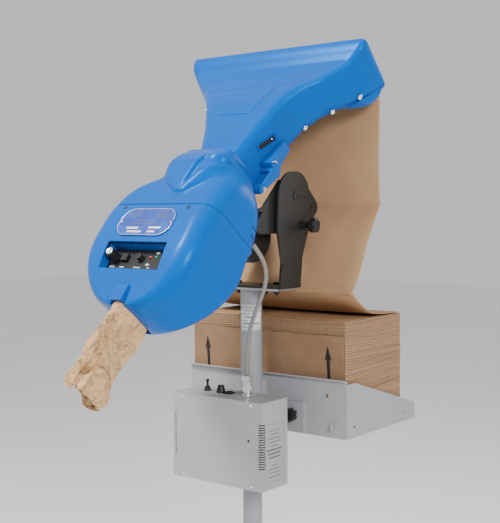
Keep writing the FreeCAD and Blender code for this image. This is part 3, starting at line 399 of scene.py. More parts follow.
def slab(name, grid, normals, thickness, material, slot, smooth=True):
    """A closed sheet: a grid of points, and the same grid moved back along its normals."""
    rows, columns = len(grid), len(grid[0])
    front = [p for row in grid for p in row]
    back = [p - n * thickness for row, ns in zip(grid, normals) for p, n in zip(row, ns)]
    count = rows * columns
    faces = grid_faces(rows, columns) + grid_faces(rows, columns, start=count, flip=True)
    rim = list(range(columns)) + [r * columns + columns - 1 for r in range(1, rows)]
    rim += [(rows - 1) * columns + c for c in range(columns - 2, -1, -1)]
    rim += [r * columns for r in range(rows - 2, 0, -1)]
    for a, b in zip(rim, rim[1:] + rim[:1]):
        faces.append((b, a, a + count, b + count))
    return mesh_piece(name, front + back, faces, material, slot, smooth)


def grid_normals(grid):
    rows, columns = len(grid), len(grid[0])

    def normal(r, c):
        down = grid[min(r + 1, rows - 1)][c] - grid[max(r - 1, 0)][c]
        side = grid[r][min(c + 1, columns - 1)] - grid[r][max(c - 1, 0)]
        return side.cross(down).normalized()

    return [[normal(r, c) for c in range(columns)] for r in range(rows)]


def smooth_curve(stations, values, at, width):
    """Values given at stations, rounded off over a width, read at other places."""
    fine = np.linspace(stations[0] - 4 * width, stations[-1] + 4 * width, 1600)
    table = np.interp(fine, stations, values)
    step = fine[1] - fine[0]
    reach = int(3 * width / step) + 1
    kernel = np.exp(-0.5 * (np.arange(-reach, reach + 1) * step / width) ** 2)
    padded = np.pad(table, reach, mode="edge")
    table = np.convolve(padded, kernel / kernel.sum(), mode="valid")
    return np.interp(at, fine, table)


def section(stations, table, at, width):
    """Every measure of a shape at one station, rounded off over a width."""
    return {key: float(smooth_curve(stations, values, at, width)) for key, values in table.items()}


def ring_parts(half_front, half_back, front, back, radius, centre, counts):
    """Outline of a four-sided tube with round corners, from the middle of its back, seen along +Z."""
    corners = [(centre + half_back, back), (centre + half_front, front),
               (centre - half_front, front), (centre - half_back, back)]
    n_side, n_front, n_back, n_corner = counts
    points, fillets = [], []
    for index in range(4):
        before, here, after = [Vector(corners[(index + k) % 4]) for k in (-1, 0, 1)]
        into, out = (here - before).normalized(), (after - here).normalized()
        turn = into.angle(out)
        setback = radius * sin(turn / 2) / cos(turn / 2)
        inward = (out - into).normalized()
        centre_point = here + inward * (radius / cos(turn / 2))
        start, end = here - into * setback, here + out * setback
        a0 = atan2(start.y - centre_point.y, start.x - centre_point.x)
        a1 = atan2(end.y - centre_point.y, end.x - centre_point.x)
        a1 -= 2 * pi * round((a1 - a0) / (2 * pi))
        fillets.append([centre_point + Vector((cos(a0 + (a1 - a0) * k / n_corner),
                                               sin(a0 + (a1 - a0) * k / n_corner))) * radius
                        for k in range(n_corner + 1)])
    spans = (n_side, n_front, n_side, n_back)
    for index in range(4):
        points += fillets[index]
        start, end = fillets[index][-1], fillets[(index + 1) % 4][0]
        for k in range(1, spans[index]):
            points.append(start.lerp(end, k / spans[index]))
    return points


def strip_shell(name, outer, inner, material, slot, body):
    """A closed wall between outer and inner rows of points, each row open at its two ends."""
    rows, columns = len(outer), len(outer[0])
    lip = [(a + b) / 2 + (a - outer[-2][i]).normalized() * 0.0012
           for i, (a, b) in enumerate(zip(outer[-1], inner[-1]))]
    loop = outer + [lip] + inner[::-1]
    total = len(loop)
    vertices = [p for row in loop for p in row]
    faces = grid_faces(total, columns)
    for c in range(columns - 1):
        last = (total - 1) * columns + c
        faces.append((last, last + 1, c + 1, c))
    for c, flip in ((0, True), (columns - 1, False)):
        for r in range(rows - 1):
            face = (r * columns + c, (r + 1) * columns + c,
                    (total - 2 - r) * columns + c, (total - 1 - r) * columns + c)
            faces.append(face[::-1] if flip else face)
        tip = ((rows - 1) * columns + c, rows * columns + c, (rows + 1) * columns + c)
        faces.append(tip[::-1] if flip else tip)
    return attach(mesh_piece(name, vertices, faces, material, slot), body)


def resampled(points, count):
    """A line of points, spaced evenly along itself."""
    steps = np.array([0] + [(b - a).length for a, b in zip(points, points[1:])]).cumsum()
    at = np.linspace(0, steps[-1], count)
    return [Vector((np.interp(t, steps, [p.x for p in points]), np.interp(t, steps, [p.y for p in points])))
            for t in at]


def inward(points, depth):
    """An open line of 2D points, moved to its inner side by a depth."""
    made = []
    for index, point in enumerate(points):
        along = (points[min(index + 1, len(points) - 1)] - points[max(index - 1, 0)]).normalized()
        made.append(point + Vector((along.y, -along.x)) * depth)
    return made


# ---- funnel
FUNNEL_Z = (-89, -20, 51, 108, 146, 172, 200, 222, 232, 241, 248, 256)
FUNNEL = {
    "centre": (10, 10, 6, 2, 0, 0, 0, 0, 0, 0, 0, 0),
    "half_front": (38, 53, 75, 98, 118, 144, 176, 196, 205, 211, 214, 215),
    "half_back": (42, 58, 82, 108, 144, 176, 197, 206, 210, 213, 214, 215),
    "front": (-148, -152, -152, -152, -146, -134, -130, -130.5, -134, -139.5, -142.5, -143),
    "back": (-72, -62, -60, -60, -58, -53, -45, -37.5, -34, -31, -29, -28),
    "radius": (14, 22, 24, 24, 22, 20, 18, 15, 14, 12, 12, 12)}
WALL = 4.0
KNOB_FACE = 202.3
MOUTH_LEAN = radians(-7.4)
LEAN_START, LEAN_SPAN = 226, 30


def funnel_shape(z):
    near_mouth = 2.2 if z > 215 else 6.0
    return section(FUNNEL_Z, FUNNEL, z, near_mouth)


def funnel_ring(z, extra_back=0.0):
    s = funnel_shape(z)
    points = ring_parts(s["half_front"], s["half_back"], s["front"], s["back"] + extra_back, s["radius"],
                        s["centre"], (14, 70, 40, 10))
    return points, s


def leaned(point, z, shape):
    """A funnel point in the object's frame; towards the mouth the rings lean forward."""
    share = clip((z - LEAN_START) / LEAN_SPAN)
    lean = MOUTH_LEAN * share * share * (3 - 2 * share)
    middle = (shape["front"] + shape["back"]) / 2
    offset = point.y - middle
    return head(point.x, middle + offset * cos(lean), z + offset * sin(lean))


def seam_line(z):
    return np.interp(z, (-95, 121, 150, 192, 260), (-68, -66, -62, -52, -38))


def cut_at(points, level, keep_front):
    """The part of a closed ring in front of, or behind, a level of y, as an open line."""
    count = len(points)
    inside = [(p.y < level) == keep_front for p in points]
    first = next(i for i in range(count) if inside[i] and not inside[i - 1])

    def crossing(index):
        before, here = points[index - 1], points[index % count]
        return before.lerp(here, (level - before.y) / (here.y - before.y))

    line, index = [crossing(first)], first
    while inside[index % count]:
        line.append(points[index % count])
        index += 1
    return line + [crossing(index % count)]


def by_corner(line, count_ends, front_corners):
    """The same line with a fixed number of points before, between and after its corners."""
    a, b = front_corners
    return resampled(line[:a], count_ends) + line[a:b] + resampled(line[b:], count_ends)


def funnel():
    outer, inner = [], []
    for z in [*np.arange(-89, 214, 4.0), *np.arange(214, 256.1, 1.5)]:
        ring, s = funnel_ring(z)
        level = min(seam_line(z), s["back"] - 2)
        line = cut_at(ring, level, True)
        front = [i for i, p in enumerate(line) if p.y < s["front"] + s["radius"] * 0.9]
        line = by_corner(line, 26, (front[0], front[0] + 89))
        outer.append([leaned(p, z, s) for p in line])
        inner.append([leaned(p, z, s) for p in inward(line, WALL)])
    shell = strip_shell("funnel_shell", outer, inner, BLUE, "blue_plastic", "head")
    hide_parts("funnel")


def rear_panel():
    outer, inner = [], []
    for z in [*np.arange(-60, 172, 4.0), *np.arange(172, 254, 1.6)]:
        share = clip((z - 178) / 63)
        rolled = 21 * sin(pi * share) ** 0.8 if 0 < share < 1 else 0.0
        ring, s = funnel_ring(z, rolled)
        thin, _ = funnel_ring(z)
        level = min(seam_line(z) + 0.4, s["back"] - 1.5)
        outer.append([leaned(p, z, s) for p in resampled(cut_at(ring, level, False), 110)])
        line = inward(resampled(cut_at(thin, level, False), 110), WALL)
        inner.append([leaned(p, z, s) for p in line])
    panel = strip_shell("funnel_rear_shell", outer, inner, BLUE, "blue_plastic", "head")
    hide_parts("funnel_rear_panel")


def raised_field():
    """A thin raised field on the funnel's front, with a rolled edge."""
    steps, proud = 36, 1.5
    a, b, c, d = [Vector(p) for p in ((-66, 158), (66, 148), (38, 74), (-39, 75))]
    grid = []
    for v in (r / steps for r in range(steps + 1)):
        line = []
        for u in (k / steps for k in range(steps + 1)):
            flat = a.lerp(b, u).lerp(d.lerp(c, u), v)
            edge = min(u, 1 - u, v, 1 - v) * steps / 2.2
            rise = proud * sqrt(max(0.0, 1 - (1 - min(1.0, edge)) ** 2))
            line.append(head(flat.x, funnel_shape(flat.y)["front"] - rise + 0.2, flat.y))
        grid.append(line)
    normals = [[HEAD_FRONT] * (steps + 1)] * (steps + 1)
    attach(slab("funnel_raised_field", grid, normals, 0.0015, BLUE, "blue_plastic"), "head")


def slot_trim():
    """The raised rim of the slot on each side of the funnel, and a black sheet on its floor as painted shade."""
    rim, floor = [], []
    low, high = Vector((-124.2, 10)), Vector((-110.9, 49.5))
    along = (high - low).normalized()
    across = Vector((-along.y, along.x)) * 5.0
    for sx in (-1, 1):
        corners = [low - across, high - across, high + across, low + across]
        outside = [p + (p - (low + high) / 2).normalized() * 2.8 for p in corners]
        loops = []
        for points, lift in ((outside, -1.0), (outside, 4.0), (corners, 4.0), (corners, -1.0)):
            loops.append([head(sx * lift + side_x(p, sx), p.x, p.y) for p in points])
        rim.append(loops)
        floor.append([head(side_x(p, sx) + sx * 0.5, p.x, p.y) for p in corners])
    vertices, faces = [], []
    for loops, sx in zip(rim, (-1, 1)):
        start = len(vertices)
        vertices += [p for loop in loops for p in loop]
        faces += grid_faces(4, 4, True, start, sx > 0)
        for k in range(4):
            n = (k + 1) % 4
            face = (start + 12 + k, start + 12 + n, start + n, start + k)
            faces.append(face[::-1] if sx > 0 else face)
    piece = mesh_piece("funnel_slot_rims", vertices, faces, BLUE, "blue_plastic", False)
    bevel(piece, 0.0008)
    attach(piece, "head")
    # painted shade: a thin black sheet on each slot's floor, where the slot lies in shade
    floor_shade_sheets = prisms([(corners, [p - Vector((sx * 0.0015, 0, 0)) for p in corners])
                     for corners, sx in zip(floor, (-1, 1))])
    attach(mesh_piece("funnel_slot_floor_painted_shade", *floor_shade_sheets, BLACK_PRINT_AND_SHADE, "black_plastic", False), "head")


def slot_screw():
    """A small bright screw standing in the right slot."""
    x, y, z = 82.5, -113.0, 42.5
    rows = [[head(x + lift, y + u, z + v) for u, v in circle(radius, 16)]
            for lift, radius in ((-1.0, 2.2), (1.2, 2.2), (2.0, 1.7), (2.4, 0.6))]
    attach(mesh_piece("slot_screw", *lofted(rows), NICKEL, "silver_metal"), "head")


def brace():
    """The moulded brace between the funnel's right side and the cover, with softened edges."""
    outline = [(-95, 53), (-71, 54), (-75, 12), (-65, -6), (-86, -70), (-95, -68), (-89, -9), (-102, -6)]
    inner_x = (84, 86, 76, 70, 57, 57, 70, 73)
    sides = ([head(98, y, z) for y, z in outline], [head(x, y, z) for x, (y, z) in zip(inner_x, outline)])
    piece = mesh_piece("funnel_brace_moulded", *prisms([sides]), BLUE, "blue_plastic", False)
    carve(piece, [box_cutter((40, 93), (-120, -82), (-52, -16))])
    bevel(piece, 0.0016, 3)
    for polygon in piece.data.polygons:
        polygon.use_smooth = False
    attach(piece, "head")
    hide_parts("funnel_brace")


def side_x(place, side):
    """Where the funnel's side wall stands, at a place (y, z) in the head's frame."""
    s = funnel_shape(place.y)
    share = (place.x - s["back"]) / (s["front"] - s["back"])
    return s["centre"] + side * (s["half_back"] + (s["half_front"] - s["half_back"]) * share)


def bevel(piece, width, segments=2):
    modifier = piece.modifiers.new("soft edges", "BEVEL")
    modifier.width, modifier.segments, modifier.limit_method = width, segments, "ANGLE"


# ---- upper cover
COVER_Z = (-190.6, -160, -140, -125, -110, -95, -80, -65, -54)
COVER = {"half": (127, 126, 121, 113, 102, 88, 78, 68, 60), "centre": (0, 1, 7, 15, 23, 29, 30, 25, 20),
         "front": (-203, -200, -197, -193, -188, -183, -178, -172, -168),
         "back": (-54, -56, -62, -70, -78, -87, -96, -104, -110),
         "radius": (32, 40, 44, 47, 50, 50, 50, 46, 42)}
HUMP_Z = (-160, -152, -120, -94, -68, -50)
HUMP = {"half": (6, 14, 54, 65, 65, 58), "centre": (25, 25, 22, 21, 24, 24),
        "front": (-194, -199, -208, -211, -201, -188), "radius": (3, 8, 24, 28, 28, 22)}
COVER_MIDDLE = Vector((20, -135))
COVER_CAP, HUMP_CAP = (-78, -46), (-50, -37)
BLEND_WIDTH = 30.0
COVER_COLUMNS = 320


def reach(points, angles):
    """How far a closed ring stands from the cover's middle, in each direction."""
    offsets = [p - COVER_MIDDLE for p in points]
    turned = np.unwrap([atan2(o.y, o.x) for o in offsets])
    far = np.array([o.length for o in offsets])
    if turned[-1] < turned[0]:
        turned, far = turned[::-1], far[::-1]
    turned = np.concatenate((turned - 2 * pi, turned, turned + 2 * pi))
    return np.interp(angles, turned, np.tile(far, 3))


def capped(z, cap):
    share = clip((z - cap[0]) / (cap[1] - cap[0]))
    return sqrt(max(0.0, 1 - share * share))


def recess(x, z):
    """Depth of the wedge pressed into the hump between a straight ridge and a curved edge."""
    left = np.interp(z, (-160, -84), (25, 41))
    share = (z + 150) / 50
    right = 37 + 42 * max(0.0, share) ** 1.35
    inside = min((x - left) / 7.0, (right - x) / 15.0)
    ends = min((z + 156) / 22.0, (-72 - z) / 14.0)
    level = clip(inside) * clip(ends)
    ridge = 0.3 * np.exp(-((x - left + 3) / 5.0) ** 2) * clip(ends)
    return 6.0 * level * level * (3 - 2 * level) - ridge


def upper_cover():
    angles = np.linspace(-pi, pi, COVER_COLUMNS, endpoint=False)
    outer, inner = [], []
    foot = COVER_Z[0]
    for z in [foot, foot + 1.8, foot + 2.2, *np.arange(-187, -84, 2.6), *np.arange(-84, -36.8, 0.9)]:
        c = section(COVER_Z, COVER, min(z, COVER_Z[-1]), 7)
        h = section(HUMP_Z, HUMP, z, 7)
        ring = ring_parts(c["half"], c["half"], c["front"], c["back"], c["radius"], c["centre"],
                          (30, 60, 60, 14))
        far = reach(ring, angles) * capped(z, COVER_CAP)
        if z > HUMP_Z[0]:
            ring = ring_parts(h["half"], h["half"], h["front"], -118, min(h["radius"], h["half"] - 1),
                              h["centre"], (20, 40, 40, 12))
            bulge = reach(ring, angles) * capped(z, HUMP_CAP)
            share = np.clip(0.5 + 0.5 * (far - bulge) / BLEND_WIDTH, 0, 1)
            far = bulge * (1 - share) + far * share + BLEND_WIDTH * share * (1 - share) * (bulge > 5)
        neck = reach(funnel_ring(z)[0], angles) - 2.0
        row_out, row_in = [], []
        for angle, distance, stem in zip(angles, far, neck):
            way = Vector((cos(angle), sin(angle)))
            at = COVER_MIDDLE + way * distance
            if way.y < -0.3:
                distance -= recess(at.x, z)
            distance = max(distance, stem) - (5.0 if z < foot + 2.0 else 0)
            row_out.append(head(*(COVER_MIDDLE + way * distance), z))
            row_in.append(head(*(COVER_MIDDLE + way * max(distance - 3.0, stem - 1.5)), z))
        outer.append(row_out)
        inner.append(row_in)
    rows = outer + inner[::-1]
    vertices = [p for row in rows for p in row]
    faces = grid_faces(len(rows), COVER_COLUMNS, True, 0, True)
    last = len(vertices) - COVER_COLUMNS
    for c in range(COVER_COLUMNS):
        n = (c + 1) % COVER_COLUMNS
        faces.append((n, c, last + c, last + n))
    piece = mesh_piece("upper_cover_shell", vertices, faces, BLUE, "blue_plastic")
    cutters = [box_cutter((-104, 104), (-90, -40), (-200, -106)),
               box_cutter((118, 132), (-101, -50), (-156, -154.4)),
               box_cutter((118, 132), (-94, -50), (-170, -168.4))]
    carve(piece, cutters)
    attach(piece, "head")
    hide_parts("upper_cover")


def box_cutter(xs, ys, zs):
    corners = [head(x, y, z) for x in xs for y in ys for z in zs]
    faces = [(0, 1, 3, 2), (4, 6, 7, 5), (0, 4, 5, 1), (2, 3, 7, 6), (0, 2, 6, 4), (1, 5, 7, 3)]
    mesh = bpy.data.meshes.new("cutter")
    mesh.from_pydata([tuple(v) for v in corners], [], faces)
    return placed("cutter", mesh)


def evaluated_mesh(source):
    bpy.context.view_layer.update()
    return bpy.data.meshes.new_from_object(source.evaluated_get(bpy.context.evaluated_depsgraph_get()))


def carve(piece, cutters):
    """Cuts boxes out of a piece and keeps the result as its own mesh."""
    for cutter in cutters:
        modifier = piece.modifiers.new("cut", "BOOLEAN")
        modifier.operation, modifier.object, modifier.solver = "DIFFERENCE", cutter, "EXACT"
    mesh = evaluated_mesh(piece)
    piece.modifiers.clear()
    piece.data = mesh
    for cutter in cutters:
        bpy.data.objects.remove(cutter)


# ---- paper web, pack and wrap
def rounded_line(points, per_span=12):
    """A smooth line through points (Catmull-Rom)."""
    made = []
    for index in range(len(points) - 1):
        a, b = points[max(index - 1, 0)], points[index]
        c, d = points[index + 1], points[min(index + 2, len(points) - 1)]
        for k in range(per_span):
            t = k / per_span
            made.append(0.5 * (2 * b + (c - a) * t + (2 * a - 5 * b + 4 * c - d) * t * t
                               + (3 * b - a - 3 * c + d) * t ** 3))
    return made + [points[-1]]


def paper_web():
    """One flat web: out of the pack, folded twice, over the funnel's lip and gathered down inside it."""
    half = (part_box("paper_web")[1].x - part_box("paper_web")[0].x) / 2
    outside = [[(252, 1133.6), (200, 1134.2), (170, 1135.5), (140, 1140), (113, 1152), (88, 1167),
                (63, 1185)],
               [(63, 1185), (81, 1206), (98, 1235), (118, 1276), (135, 1305), (153, 1333), (170, 1355)],
               [(170, 1355), (166.5, 1382), (165.5, 1441), (166, 1500), (166, 1549), (164.5, 1572),
                (160, 1586), (150, 1590.5), (137, 1586)]]
    line = []
    for span in outside:
        line += rounded_line([Vector((0, y * MM, z * MM)) for y, z in span])[1 if line else 0:]
    lip = len(line)
    inside = [head(0, y, z) for y, z in ((-46, 236), (-58, 200), (-66, 160), (-74, 110), (-78, 46),
                                         (-80, -18), (-84, -78))]
    line += rounded_line([line[-1]] + inside)[1:]
    lengths = np.array([0] + [(b - a).length for a, b in zip(line, line[1:])]).cumsum()
    columns, pleats = 97, 7
    widths = smooth_curve((0, 36, 76, 126, 190, 254, 320), (190, 178, 138, 92, 64, 42, 24),
                          (lengths - lengths[lip - 1]) / MM, 7) * MM
    grid = []
    for row, (point, width) in enumerate(zip(line, widths)):
        before, after = line[max(row - 1, 0)], line[min(row + 1, len(line) - 1)]
        along = (after - before).normalized()
        normal = Vector((1, 0, 0)).cross(along).normalized()
        width = half if row < lip else min(width, half)
        ratio = half / width
        wavelength = 2 * width / pleats
        depth = wavelength / 4.0 * sqrt(max(0.0, ratio * ratio - 1)) * 0.93
        free = clip(lengths[row] / 0.2)
        cells = []
        for c in range(columns):
            u = 2 * c / (columns - 1) - 1
            pleat = depth * (1 + sin(pi * pleats * (u + 1)))
            drift = noise.noise(Vector((u * 1.7, lengths[row] * 6, 3.1))) * 0.0022 * free
            curl = 0.004 * abs(u) ** 6 * free * (1 if row < lip else 0)
            cells.append(Vector((u * width, point.y, point.z)) + normal * (drift - curl)
                         - normal * (pleat if row >= lip else 0))
        grid.append(cells)
    piece = slab("paper_web_sheet", grid, grid_normals(grid), 0.0005, PAPER, "kraft_paper")
    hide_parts("paper_web")
    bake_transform(piece)


def paper_pack():
    """Fan-fold layers: each folded edge bulges, and the layers waver along the sides."""
    low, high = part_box("paper_pack")
    layers, per_layer = 46, 4
    corners = ((low.x, low.y), (high.x, low.y), (high.x, high.y), (low.x, high.y))
    outline = []
    for index, count in enumerate((60, 40, 60, 40)):
        (x0, y0), (x1, y1) = corners[index], corners[(index + 1) % 4]
        outline += [(x0 + (x1 - x0) * k / count, y0 + (y1 - y0) * k / count) for k in range(count)]
    middle = (low + high) / 2
    rows = []
    total = layers * per_layer
    for r in range(total + 1):
        v = r / total
        layer, part = divmod(r, per_layer)
        groove = 0.0016 * (1 if part == 0 else 0.12)
        shift = noise.noise(Vector((layer * 1.37, 4.2, 0))) * 0.0012
        row = []
        for x, y in outline:
            wave = sin(pi * v) * (0.008 * noise.noise(Vector((x * 5, y * 6, v * 1.6)))
                                  + 0.002 * noise.noise(Vector((x * 22, y * 22, v * 5))))
            side = Vector((x - middle.x, y - middle.y))
            nudge = side.normalized() * (-groove - 0.0012 + shift)
            z = min(high.z, low.z + (high.z - low.z) * v + wave)
            row.append(Vector((x + nudge.x, y + nudge.y, z)))
        rows.append(row)
    piece = mesh_piece("paper_pack_layers", *lofted(rows), EDGES, "pack_paper", False)
    piece.data.materials.append(PAPER)
    piece.data.materials.append(FOLDS_SHADED)
    for polygon in piece.data.polygons:
        if abs(polygon.normal.z) > 0.9:
            polygon.material_index = 1
        elif abs(polygon.normal.y) > abs(polygon.normal.x):
            polygon.material_index = 2
    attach(piece, "mast")
    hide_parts("paper_pack")


def pack_wrap():
    """Cardboard wrap: front with a torn top edge, bottom and back in one folded strip."""
    low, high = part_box("pack_wrap")
    card = 0.0016
    top_front, top_back = high.z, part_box("paper_pack")[1].z - 0.062
    columns = 150
    profile = [(high.y - card, top_back), (high.y - card, low.z + 0.03), (high.y - card, low.z + card),
               (low.y + card, low.z + card)]
    profile += [(low.y + card, low.z + card + (top_front - low.z - card) * k / 24) for k in range(1, 25)]
    grid = []
    for index, (y, z) in enumerate(profile):
        row = []
        for c in range(columns + 1):
            x = low.x + (high.x - low.x) * c / columns
            torn = 0.0
            if index == len(profile) - 1:
                torn = (0.0025 * noise.noise(Vector((x * 60, 0, 0)))
                        + 0.0016 * noise.noise(Vector((x * 300, 1, 0))) - 0.0022)
            bow = -0.0016 * (1 - abs(2 * c / columns - 1) ** 2) if index > 3 else 0
            lean = 0.0008 * noise.noise(Vector((x * 12, z * 14, 2))) if index > 3 else 0
            row.append(Vector((x, y - 0.0002 + max(bow, -0.0002) + min(lean, 0), z + torn)))
        grid.append(row)
    ways = [(0, -1, 0)] * 2 + [(0, -1, 1), (0, 1, 1)] + [(0, 1, 0)] * (len(profile) - 4)
    normals = [[Vector(way)] * (columns + 1) for way in ways]
    piece = slab("pack_wrap_card", grid, normals, card * 0.9, CARDBOARD, "cardboard", False)
    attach(piece, "mast")
    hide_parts("pack_wrap")
    face = low.y + card - 0.0019
    tip, neck, lean = 1.084, 1.058, -0.055
    for name, x, foot in (("arrow_left", -0.1475, 1.018), ("arrow_right", 0.1544, 1.014)):
        outline = [(-0.0032, foot), (0.0032, foot), (0.0038, neck), (0.0078, neck - 0.002), (0, tip),
                   (-0.0078, neck - 0.002), (-0.0038, neck)]
        flat = [Vector((x + px + (z - foot) * lean, face, z)) for px, z in outline]
        print_on(name, [flat], Vector((0, -1, 0)), BLACK_PRINT_AND_SHADE, "cardboard", "mast")


def print_on(name, outlines, way, material, slot, body):
    """Flat printed shapes with a hair's thickness, standing just proud of a surface."""
    pairs = [[[p + way * rise for p in line] for rise in (0.0002, -0.0001)] for line in outlines]
    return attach(mesh_piece(name, *prisms(pairs), material, slot, False), body)


# ---- crumpled paper strip
STRIP_Z = (-554, -520, -470, -420, -399, -392, -372, -345)
STRIP = {"half": (28, 28, 27, 24, 20, 17, 14.5, 13),
         "front": (-203, -200, -199, -195, -189, -188, -183, -177),
         "back": (-107, -104, -98, -93, -98, -101, -102, -102)}
FOLD_SEED = 1794913212          # without it noise_vector gives other folds on every run
BIG_FOLDS, SMALL_FOLDS, FINE_FOLDS = 6.0, 2.8, 0.5     # how far each size of fold stands in or out


def creased(across, along, turns, cell, seed):
    """Height, from -1 to 1, of a sheet made of flat triangles; it repeats after so many turns across."""
    i, j = int(across // 1), int(along // cell)
    f, g = across - i, along / cell - j

    def corner(a, b):
        return 2 * noise.cell(Vector(((i + a) % turns + 0.5, j + b + 0.5, seed + 0.5))) - 1

    if noise.cell(Vector((i % turns + 0.5, j + 0.5, seed + 7.5))) > 0.5:
        if f + g < 1:
            return corner(0, 0) * (1 - f - g) + corner(1, 0) * f + corner(0, 1) * g
        return corner(1, 1) * (f + g - 1) + corner(0, 1) * (1 - f) + corner(1, 0) * (1 - g)
    if f > g:
        return corner(0, 0) * (1 - f) + corner(1, 0) * (f - g) + corner(1, 1) * g
    return corner(0, 0) * (1 - g) + corner(0, 1) * (g - f) + corner(1, 1) * f


def crumpled_row(z, columns, size, seed):
    """One ring of the crumpled strip: places in the head's frame and their outward directions."""
    half, front, back = section(STRIP_Z, STRIP, z, 4).values()
    middle, deep = (front + back) / 2, (back - front) / 2
    free = clip((-392 - z) / 22)
    ring = []
    for c in range(columns):
        share = c / columns
        warp = noise.noise_vector(Vector((cos(2 * pi * share) * 2, sin(2 * pi * share) * 2, z / 30 + seed)))
        a = 2 * pi * share
        x = half * np.sign(cos(a)) * abs(cos(a)) ** 0.7
        y = deep * np.sign(sin(a)) * abs(sin(a)) ** 0.7
        way = Vector((cos(a), sin(a) * 0.6, 0)).normalized()
        big = creased((share + warp.x * 0.03) * 9, z + warp.y * 7, 9, 27, seed)
        small = creased((share + warp.z * 0.015) * 21, z + warp.x * 5, 21, 12, seed + 1)
        fine = creased(share * 48, z + warp.y * 3, 48, 5.5, seed + 2)
        folded = max(0.0, cos(a + 0.35)) ** 0.7 * (abs((share * 26 + warp.x * 0.6) % 2 - 1) * 5.0 - 4.0)
        out = (1.0 - abs(big) * BIG_FOLDS - abs(small) * SMALL_FOLDS + fine * FINE_FOLDS + folded) * free
        ring.append((Vector((8 + x * size, middle + y * size, z)), way, out))
    return ring


def crumpled_tube(name, size, seed, start, stop, depth, jag):
    """An open-ended crumpled tube of paper with a torn rim and an inner wall."""
    columns, rows_count = 150, int((start - stop) / 1.9)
    outer, inner = [], []
    for r in range(rows_count + 1):
        z = start + (stop - start) * r / rows_count
        near_end = max(0.0, r / rows_count - 0.72) / 0.28
        row_out, row_in = [], []
        for c, (place, way, out) in enumerate(crumpled_row(z, columns, size, seed)):
            share = c / columns
            tear = jag * (creased(share * 11, 0.5, 11, 1, seed + 3)
                          + 0.35 * creased(share * 31, 0.5, 31, 1, seed + 4))
            rim = tear + 12.0 * cos(2 * pi * (share - 0.66)) + 6.0
            shift = Vector((0, 0, max(rim, -2.0) * near_end))
            here = place + way * (out - 0.8) + shift
            here.y = max(here.y, -205.0)
            row_out.append(head(*here))
            row_in.append(head(*(here - way * (0.8 + 1.6 * min(1.0, (rows_count - r) / 12)))))
        outer.append(row_out)
        inner.append(row_in)
    inner = inner[int(rows_count * depth):]
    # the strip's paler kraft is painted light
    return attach(mesh_piece(name, *lofted(outer + inner[::-1]), LIT_KRAFT, "kraft_paper", False), "head")


def paper_strip():
    noise.seed_set(FOLD_SEED)
    outside = crumpled_tube("paper_strip_crumpled", 1.0, 3, STRIP_Z[-1], STRIP_Z[0], 0.45, 6.5)
    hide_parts("paper_strip")
    crumpled_tube("paper_strip_inner_fold", 0.5, 11, -440, -551, 0.3, 5.0)


# ---- signal cable
CABLE_RADIUS = 0.004
CABLE_ROUTE = [(88.0, -107.8, 1283.8), (88.5, -90.4, 1269.2), (95.5, -76.0, 1240.0), (88.5, -69.0, 1203.0),
               (62.0, -64.5, 1158.0), (45.5, -64.8, 1117.0), (39.5, -65.6, 1073.5), (40.8, -66.0, 1031.0)]


def spline_points(route):
    """The points of a smooth NURBS line along a route, in metres."""
    curve = bpy.data.curves.new("route", "CURVE")
    curve.dimensions = "3D"
    curve.resolution_u = 14
    spline = curve.splines.new("NURBS")
    spline.points.add(len(route) - 1)
    for point, place in zip(spline.points, route):
        point.co = (*[v * MM for v in place], 1)
    spline.order_u = 3
    spline.use_endpoint_u = True
    holder = placed("route", curve)
    points = [v.co.copy() for v in evaluated_mesh(holder).vertices]
    bpy.data.objects.remove(holder)
    return points


def tube(points, radius, sides):
    """Vertices and faces of a closed round tube along a line of points."""
    rows, across = [], None
    for index, point in enumerate(points):
        along = (points[min(index + 1, len(points) - 1)] - points[max(index - 1, 0)]).normalized()
        if across is None:
            across = along.orthogonal().normalized()
        across = (across - along * across.dot(along)).normalized()
        other = along.cross(across)
        rows.append([point + across * u + other * v for u, v in circle(radius, sides)])
    return lofted(rows)


def signal_cable():
    points = spline_points(CABLE_ROUTE)
    piece = mesh_piece("signal_cable_jacket", *tube(points, CABLE_RADIUS, 24), JACKET, "cable_grey")
    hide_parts("signal_cable")
    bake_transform(piece)


# ---- plates, prints and labels
SQUARE = ((-1, -1), (1, -1), (1, 1), (-1, 1))


def round_corners(low, high, radius, steps):
    """A closed 2D line round a box, with its corners rounded."""
    (u0, v0), (u1, v1), r = low, high, radius
    line = [(u + r * cos(a), v + r * sin(a))
            for u, v, start in ((u1 - r, v1 - r, 0), (u0 + r, v1 - r, 90), (u0 + r, v0 + r, 180),
                                (u1 - r, v0 + r, 270))
            for a in (radians(start + 90 * k / steps) for k in range(steps + 1))]
    return line + line[:1]


